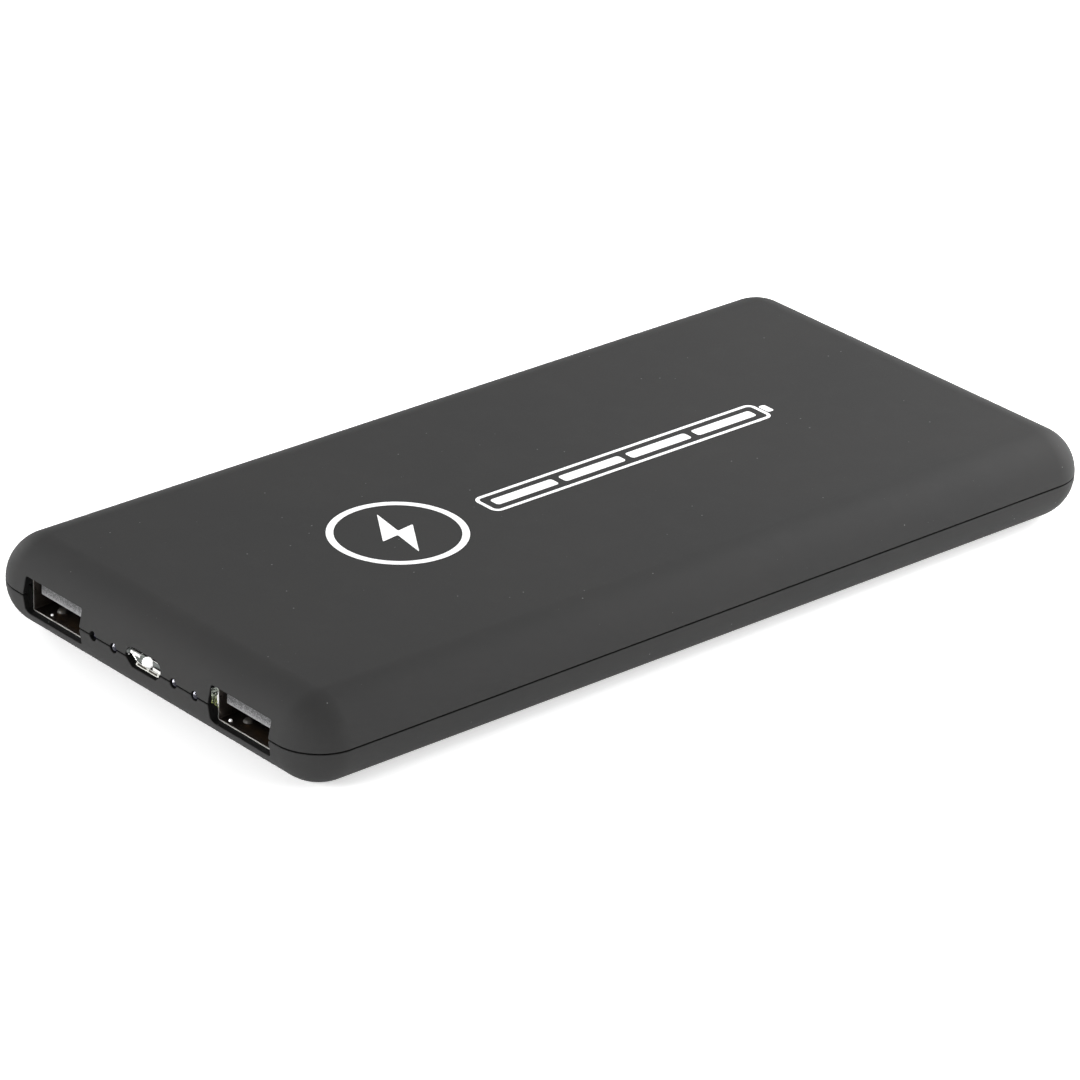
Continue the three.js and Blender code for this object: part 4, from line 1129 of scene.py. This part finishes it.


def make_micro_lips():
    """The socket's flared lips: a plate above on the left, both flanks, and a lower lip like a ladder."""
    lips = Surface()
    top_lip = ((-74.62, 8.4), (-74.9, 8.39), (-75.2, 8.32), (-75.42, 8.14), (-75.52, 7.84))
    for x, part, half_width, thickness in (
        (-1.72, top_lip, 0.76, 0.12), (2.2, top_lip[:3], 0.9, 0.12), (-2.88, top_lip[1:], 0.3, 0.1)
    ):
        lips.bar([(x, y, z) for y, z in part], (1, 0, 0), half_width, thickness)
    lips.bar([(-2.88, -75.25, 7.5), (-2.45, -75.28, 7.22), (-1.95, -75.3, 6.9)], (0.5, -0.2, 0.75), 0.21, 0.1)
    flank = (
        (-3.62, -74.68, 7.9), (-3.66, -75.0, 7.92), (-3.74, -75.3, 7.95),
        (-3.85, -75.5, 7.98), (-3.93, -75.6, 8.0),
    )
    lips.slot = LIP_DEEP_SHADED
    lips.bar(flank, (-0.15, 0, 1), 0.45, 0.1)
    # Patches of the lit and shaded tin: painted highlights and painted shade.
    for slot, low, high, soft in (
        (LIP_LIT, (-4.0, -75.3, 7.1), (-3.75, -75.18, 7.4), 0.05),
        (LIP_LIT, (1.55, -75.2, 6.7), (3.3, -75.06, 7.32), 0.06),
        (LIP_DEEP_SHADED, (1.2, -74.95, 7.25), (3.1, -74.84, 8.0), 0.05),
        (LIP_SHADED, (-3.1, -74.72, 6.5), (-0.3, -74.62, 7.95), 0.05),
    ):
        lips.slot = slot
        lips.box(low, high, soft)

    # The ladder's rails and rungs, from x0 to x1 and from v0 to v1 down the lip, and the dark bar behind
    # them, a painted shadow.
    for slot, x0, x1, v0, v1, behind in (
        (LIP_PLAIN, -2.0, 2.95, 0.34, 0.48, 0),
        (LIP_PLAIN, -1.9, 3.1, 0, 0.08, 0),
        (LIP_PLAIN, -2.0, -1.7, 0.02, 0.46, 0),
        (LIP_PLAIN, 0.42, 0.58, 0.05, 0.4, 0),
        (LIP_PLAIN, 0.7, 0.86, 0.05, 0.4, 0),
        (LIP_PLAIN, 2.8, 3.15, 0.02, 0.45, 0),
        (LIP_SHADOW, -1.8, 2.9, 0.04, 0.42, 0.08),
    ):
        lips.slot = slot
        middle = LIP_TOP + LIP_DOWN * ((v0 + v1) / 2) - LIP_OUT * behind
        lips.bar([middle + Vector((x, 0, 0)) for x in (x0, x1)], LIP_DOWN, (v1 - v0) / 2, 0.1)
    materials = [LIT_TIN, SHADED_TIN, DEEP_SHADED_TIN, LIP_TIN, SHADOW_TIN]
    place(lips, "micro_usb_lips", "socket_metal", materials=materials)


def make_micro_insulator():
    """The thin tongue and the block behind it."""
    low, high = node_box("micro_usb_insulator")
    surface = Surface()
    surface.box((-1.9, low.y, 7.35), (1.9, high.y - 0.9, 7.95), 0.08)
    outline = micro_outline(-MICRO_SHEET - 0.08, 0.2, 2)
    surface.rings([upright(outline, y) for y in (high.y, high.y - 1.1)])
    place(surface, "micro_usb_tongue", "black_plastic", "micro_usb_insulator", smooth=30)


def make_micro_stop():
    """The round stop at the front of the micro-USB tongue, turned a little to the side and up, in glowing
    white as a painted highlight.
    """
    tilt = Vector((0, -1, 0)).rotation_difference(Vector((0.5, -0.82, 0.28))).to_matrix()
    centre = Vector((-0.12, -74.78, 7.15))
    surface = Surface()
    surface.rings([
        [centre + tilt @ Vector(point) for point in upright(circle((0, 0), radius, 32), y)]
        for radius, y in (
            (0.8, 0.2), (0.86, 0.12), (0.86, 0.0), (0.8, -0.05), (0.66, -0.08), (0.4, -0.1), (0.15, -0.105)
        )
    ])
    place(surface, "micro_usb_stop", "socket_metal", materials=[GLOWING_HIGHLIGHT])


def make_micro_contacts():
    head = ((0, 7.18), (0.4, 7.13), (1.4, 7.2))
    tail = ((-0.8, 7.2), (-0.62, 7.1), (-0.55, 6.25), (-0.4, 6.1), (0, 6.1))
    for number in range(1, 6):
        node = f"micro_usb_contact_{number}"
        low, high = node_box(node)
        make_spring(f"micro_usb_spring_{number}", node, (low.x + high.x) / 2, head, tail, 0.13, 0.12)


# How far each lens' tip stands behind the front of the body, and where its pale spot, a painted highlight,
# lies on it, if it shows.
LENSES = ((0.4, None), (0.05, (-0.2, 0.4)), (0.08, (-0.16, 0.34)), (0.02, (-0.18, 0.42)))
SPOT_RADIUS = 0.2


def make_lens(number, x):
    """A smoked plug with a domed face and a flange behind the wall."""
    node = f"light_lens_{number}"
    high = node_box(node)[1]
    sunk, spot = LENSES[number - 1]
    face = PORT_Y + sunk
    flange_y = high.y - 0.5
    dome = LENS_RADIUS + 0.03
    profile = []
    for angle in range(6, 75, 6):
        lean = radians(angle)
        profile.append((dome * sin(lean), face + dome * (1 - cos(lean))))
    profile += [(LENS_RADIUS, face + 0.6), (LENS_RADIUS, flange_y - 0.05), (1.1, flange_y)]
    profile += [(1.15, flange_y + 0.06), (1.15, high.y - 0.06), (1.1, high.y)]
    surface = Surface()
    surface.rings([upright(circle((x, SEAM_Z), radius, 32), y) for radius, y in profile])
    # The faces round the spot take the pale finish: a painted highlight.
    if spot:
        centre = Vector((x + spot[0], 0, SEAM_Z + spot[1]))
        for i, corners in enumerate(surface.faces):
            points = [surface.points[c] for c in corners]
            away = sum(points, Vector()) / len(points) - centre
            if away.xz.length < SPOT_RADIUS and min(p.y for p in points) < PORT_Y + 0.6:
                surface.slots[i] = 1
    materials = [FINISHES["clear_lens"], LENS_HIGHLIGHT]
    place(surface, f"gauge_lens_{number}", "clear_lens", node, materials=materials)


# --- Foam and print ---


def make_foam_pad(side):
    """A foam sheet cut with rounded corners, its cut edges slightly drawn in."""
    node = f"{side}_foam_pad"
    low, high = node_box(node)
    middle, size = (low + high) / 2, high - low
    surface = Surface()
    rings = []
    for share, inset in ((0, 0.25), (0.2, 0.06), (0.5, 0), (0.8, 0.06), (1, 0.25)):
        outline = rounded_rectangle(size.x - 2 * inset, size.y - 2 * inset, 2 - inset, middle)
        rings.append(level(outline, low.z + size.z * share))
    surface.rings(rings)
    pad = place(surface, f"{side}_foam", "foam", node)


def make_print():
    """A plain ring with a bolt in it, and a long battery with four bars: flat white ink."""
    low, high = TOP.half_height + SEAM_Z - 0.01, 2 * HALF_HEIGHT - 0.001
    surface = Surface()

    def solid(outline):
        surface.rings([level(outline, low), level(outline, high)])

    def band(outer, inner):
        surface.loop([level(outer, low), level(outer, high), level(inner, high), level(inner, low)])

    ring_x, ring_y = -0.1, -29.6
    band(circle((ring_x, ring_y), 10.4, 96), circle((ring_x, ring_y), 9.3, 96))
    bolt = ((-6.6, 1.5), (0.9, -3.5), (0.5, -0.45), (6.6, -1.5), (-0.9, 3.5), (-0.5, 0.45))
    solid(soften_corners([(ring_x + x, ring_y + y) for x, y in bolt], 0.3, 3))

    x, start, end = 0.6, -14.0, 41.0
    middle, length, line = (x, (start + end) / 2), end - start, 0.6
    inside_length = length - 2 * line
    inner = rounded_rectangle(5.6 - 2 * line, inside_length, 0.8, middle, 8)
    band(rounded_rectangle(5.6, length, 1.4, middle, 8), inner)
    solid(rounded_rectangle(2.4, 1.2, 0.4, (x, end + 0.85), 4))
    bars, gap = 4, 1.3
    span = (inside_length - gap * (bars + 1)) / bars
    for k in range(bars):
        y = start + line + gap + span / 2 + k * (span + gap)
        solid(rounded_rectangle(2.0, span, 0.5, (x, y), 4))
    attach(surface.make("top_print", [print_ink()], 30), "body")


make_button()
make_snap_dome()
for socket_name, socket_side in USB_SIDES:
    for make_part in (make_usb_sleeve, make_usb_insulator, make_usb_contacts):
        make_part(socket_name, socket_side * USB_X)
make_micro_sleeve()
make_micro_lips()
make_micro_insulator()
make_micro_stop()
make_micro_contacts()
for light_number, light_x in enumerate(LIGHT_X, 1):
    make_lens(light_number, light_x)
make_shield_flap()
for foam_side in ("lower", "upper"):
    make_foam_pad(foam_side)
make_print()
dress_cad_nodes()


# --- Floor, lights and camera ---


def add_floor():
    surface = Surface()
    reach = 6000
    corners = ((-reach, -reach), (reach, -reach), (reach, reach), (-reach, reach))
    surface.rings([level(corners, z) for z in (-5, -0.05)])
    surface.make("floor", [studio_floor()], 30)


def add_softbox(name, location, aim, width, height, power):
    light = bpy.data.lights.new(name, "AREA")
    light.shape = "RECTANGLE"
    light.size, light.size_y = width, height
    light.energy = power
    lamp = add_object(name, light)
    lamp.location = location
    lamp.rotation_mode = "QUATERNION"
    lamp.rotation_quaternion = (Vector(aim) - Vector(location)).to_track_quat("-Z", "Y")


def add_world(horizon, zenith):
    """A white studio: bright walls down to the floor, and a dimmer ceiling."""
    world = bpy.data.worlds.new("studio")
    world.use_nodes = True
    nodes = Nodes(world.node_tree)
    direction = nodes.node("ShaderNodeTexCoord").outputs["Generated"]
    height = nodes.node("ShaderNodeSeparateXYZ", Vector=direction).outputs["Z"]
    background = world.node_tree.nodes["Background"].inputs
    nodes.feed(background["Color"], (1, 1, 1, 1))
    nodes.feed(background["Strength"], nodes.ramp(height, horizon, zenith, 0.15, 0.7))
    bpy.context.scene.world = world


def add_camera():
    """The photograph's camera, fitted to the body's outline and the sockets."""
    azimuth, elevation, roll = 0.84923, 0.44980, 0.02642
    distance, aim = 860.858, Vector((1.8274, -4.0185, 5.9824))
    back = Vector((sin(azimuth), -cos(azimuth), 0)) * cos(elevation)
    back.z = sin(elevation)
    right = Vector((0, 0, 1)).cross(back).normalized()
    up = back.cross(right)
    data = bpy.data.cameras.new("camera")
    data.sensor_width = 36
    data.lens = 195.287
    data.clip_start, data.clip_end = 0.01, 50
    camera = add_object("camera", data)
    turned_right = right * cos(roll) + up * sin(roll)
    axes = Matrix((turned_right, up * cos(roll) - right * sin(roll), back)).transposed()
    camera.matrix_world = Matrix.Translation((aim + back * distance) * MM) @ axes.to_4x4()
    bpy.context.scene.camera = camera


add_floor()
add_world(1.0, 0.12)
add_softbox("key", (0.06, 0.31, 0.18), (0, 0.06, 0), 0.3, 0.3, 2.7)
add_softbox("right", (0.75, 0.3, 0.36), (0.03, 0.05, 0), 0.4, 0.4, 3.4)
add_softbox("front", (-0.25, -0.8, 0.29), (0, -0.05, 0), 0.5, 0.25, 7)
add_softbox("left", (-0.8, -0.1, 0.22), (0, -0.05, 0), 0.3, 0.25, 3.5)
add_camera()
bpy.context.scene.view_settings.view_transform = "Standard"
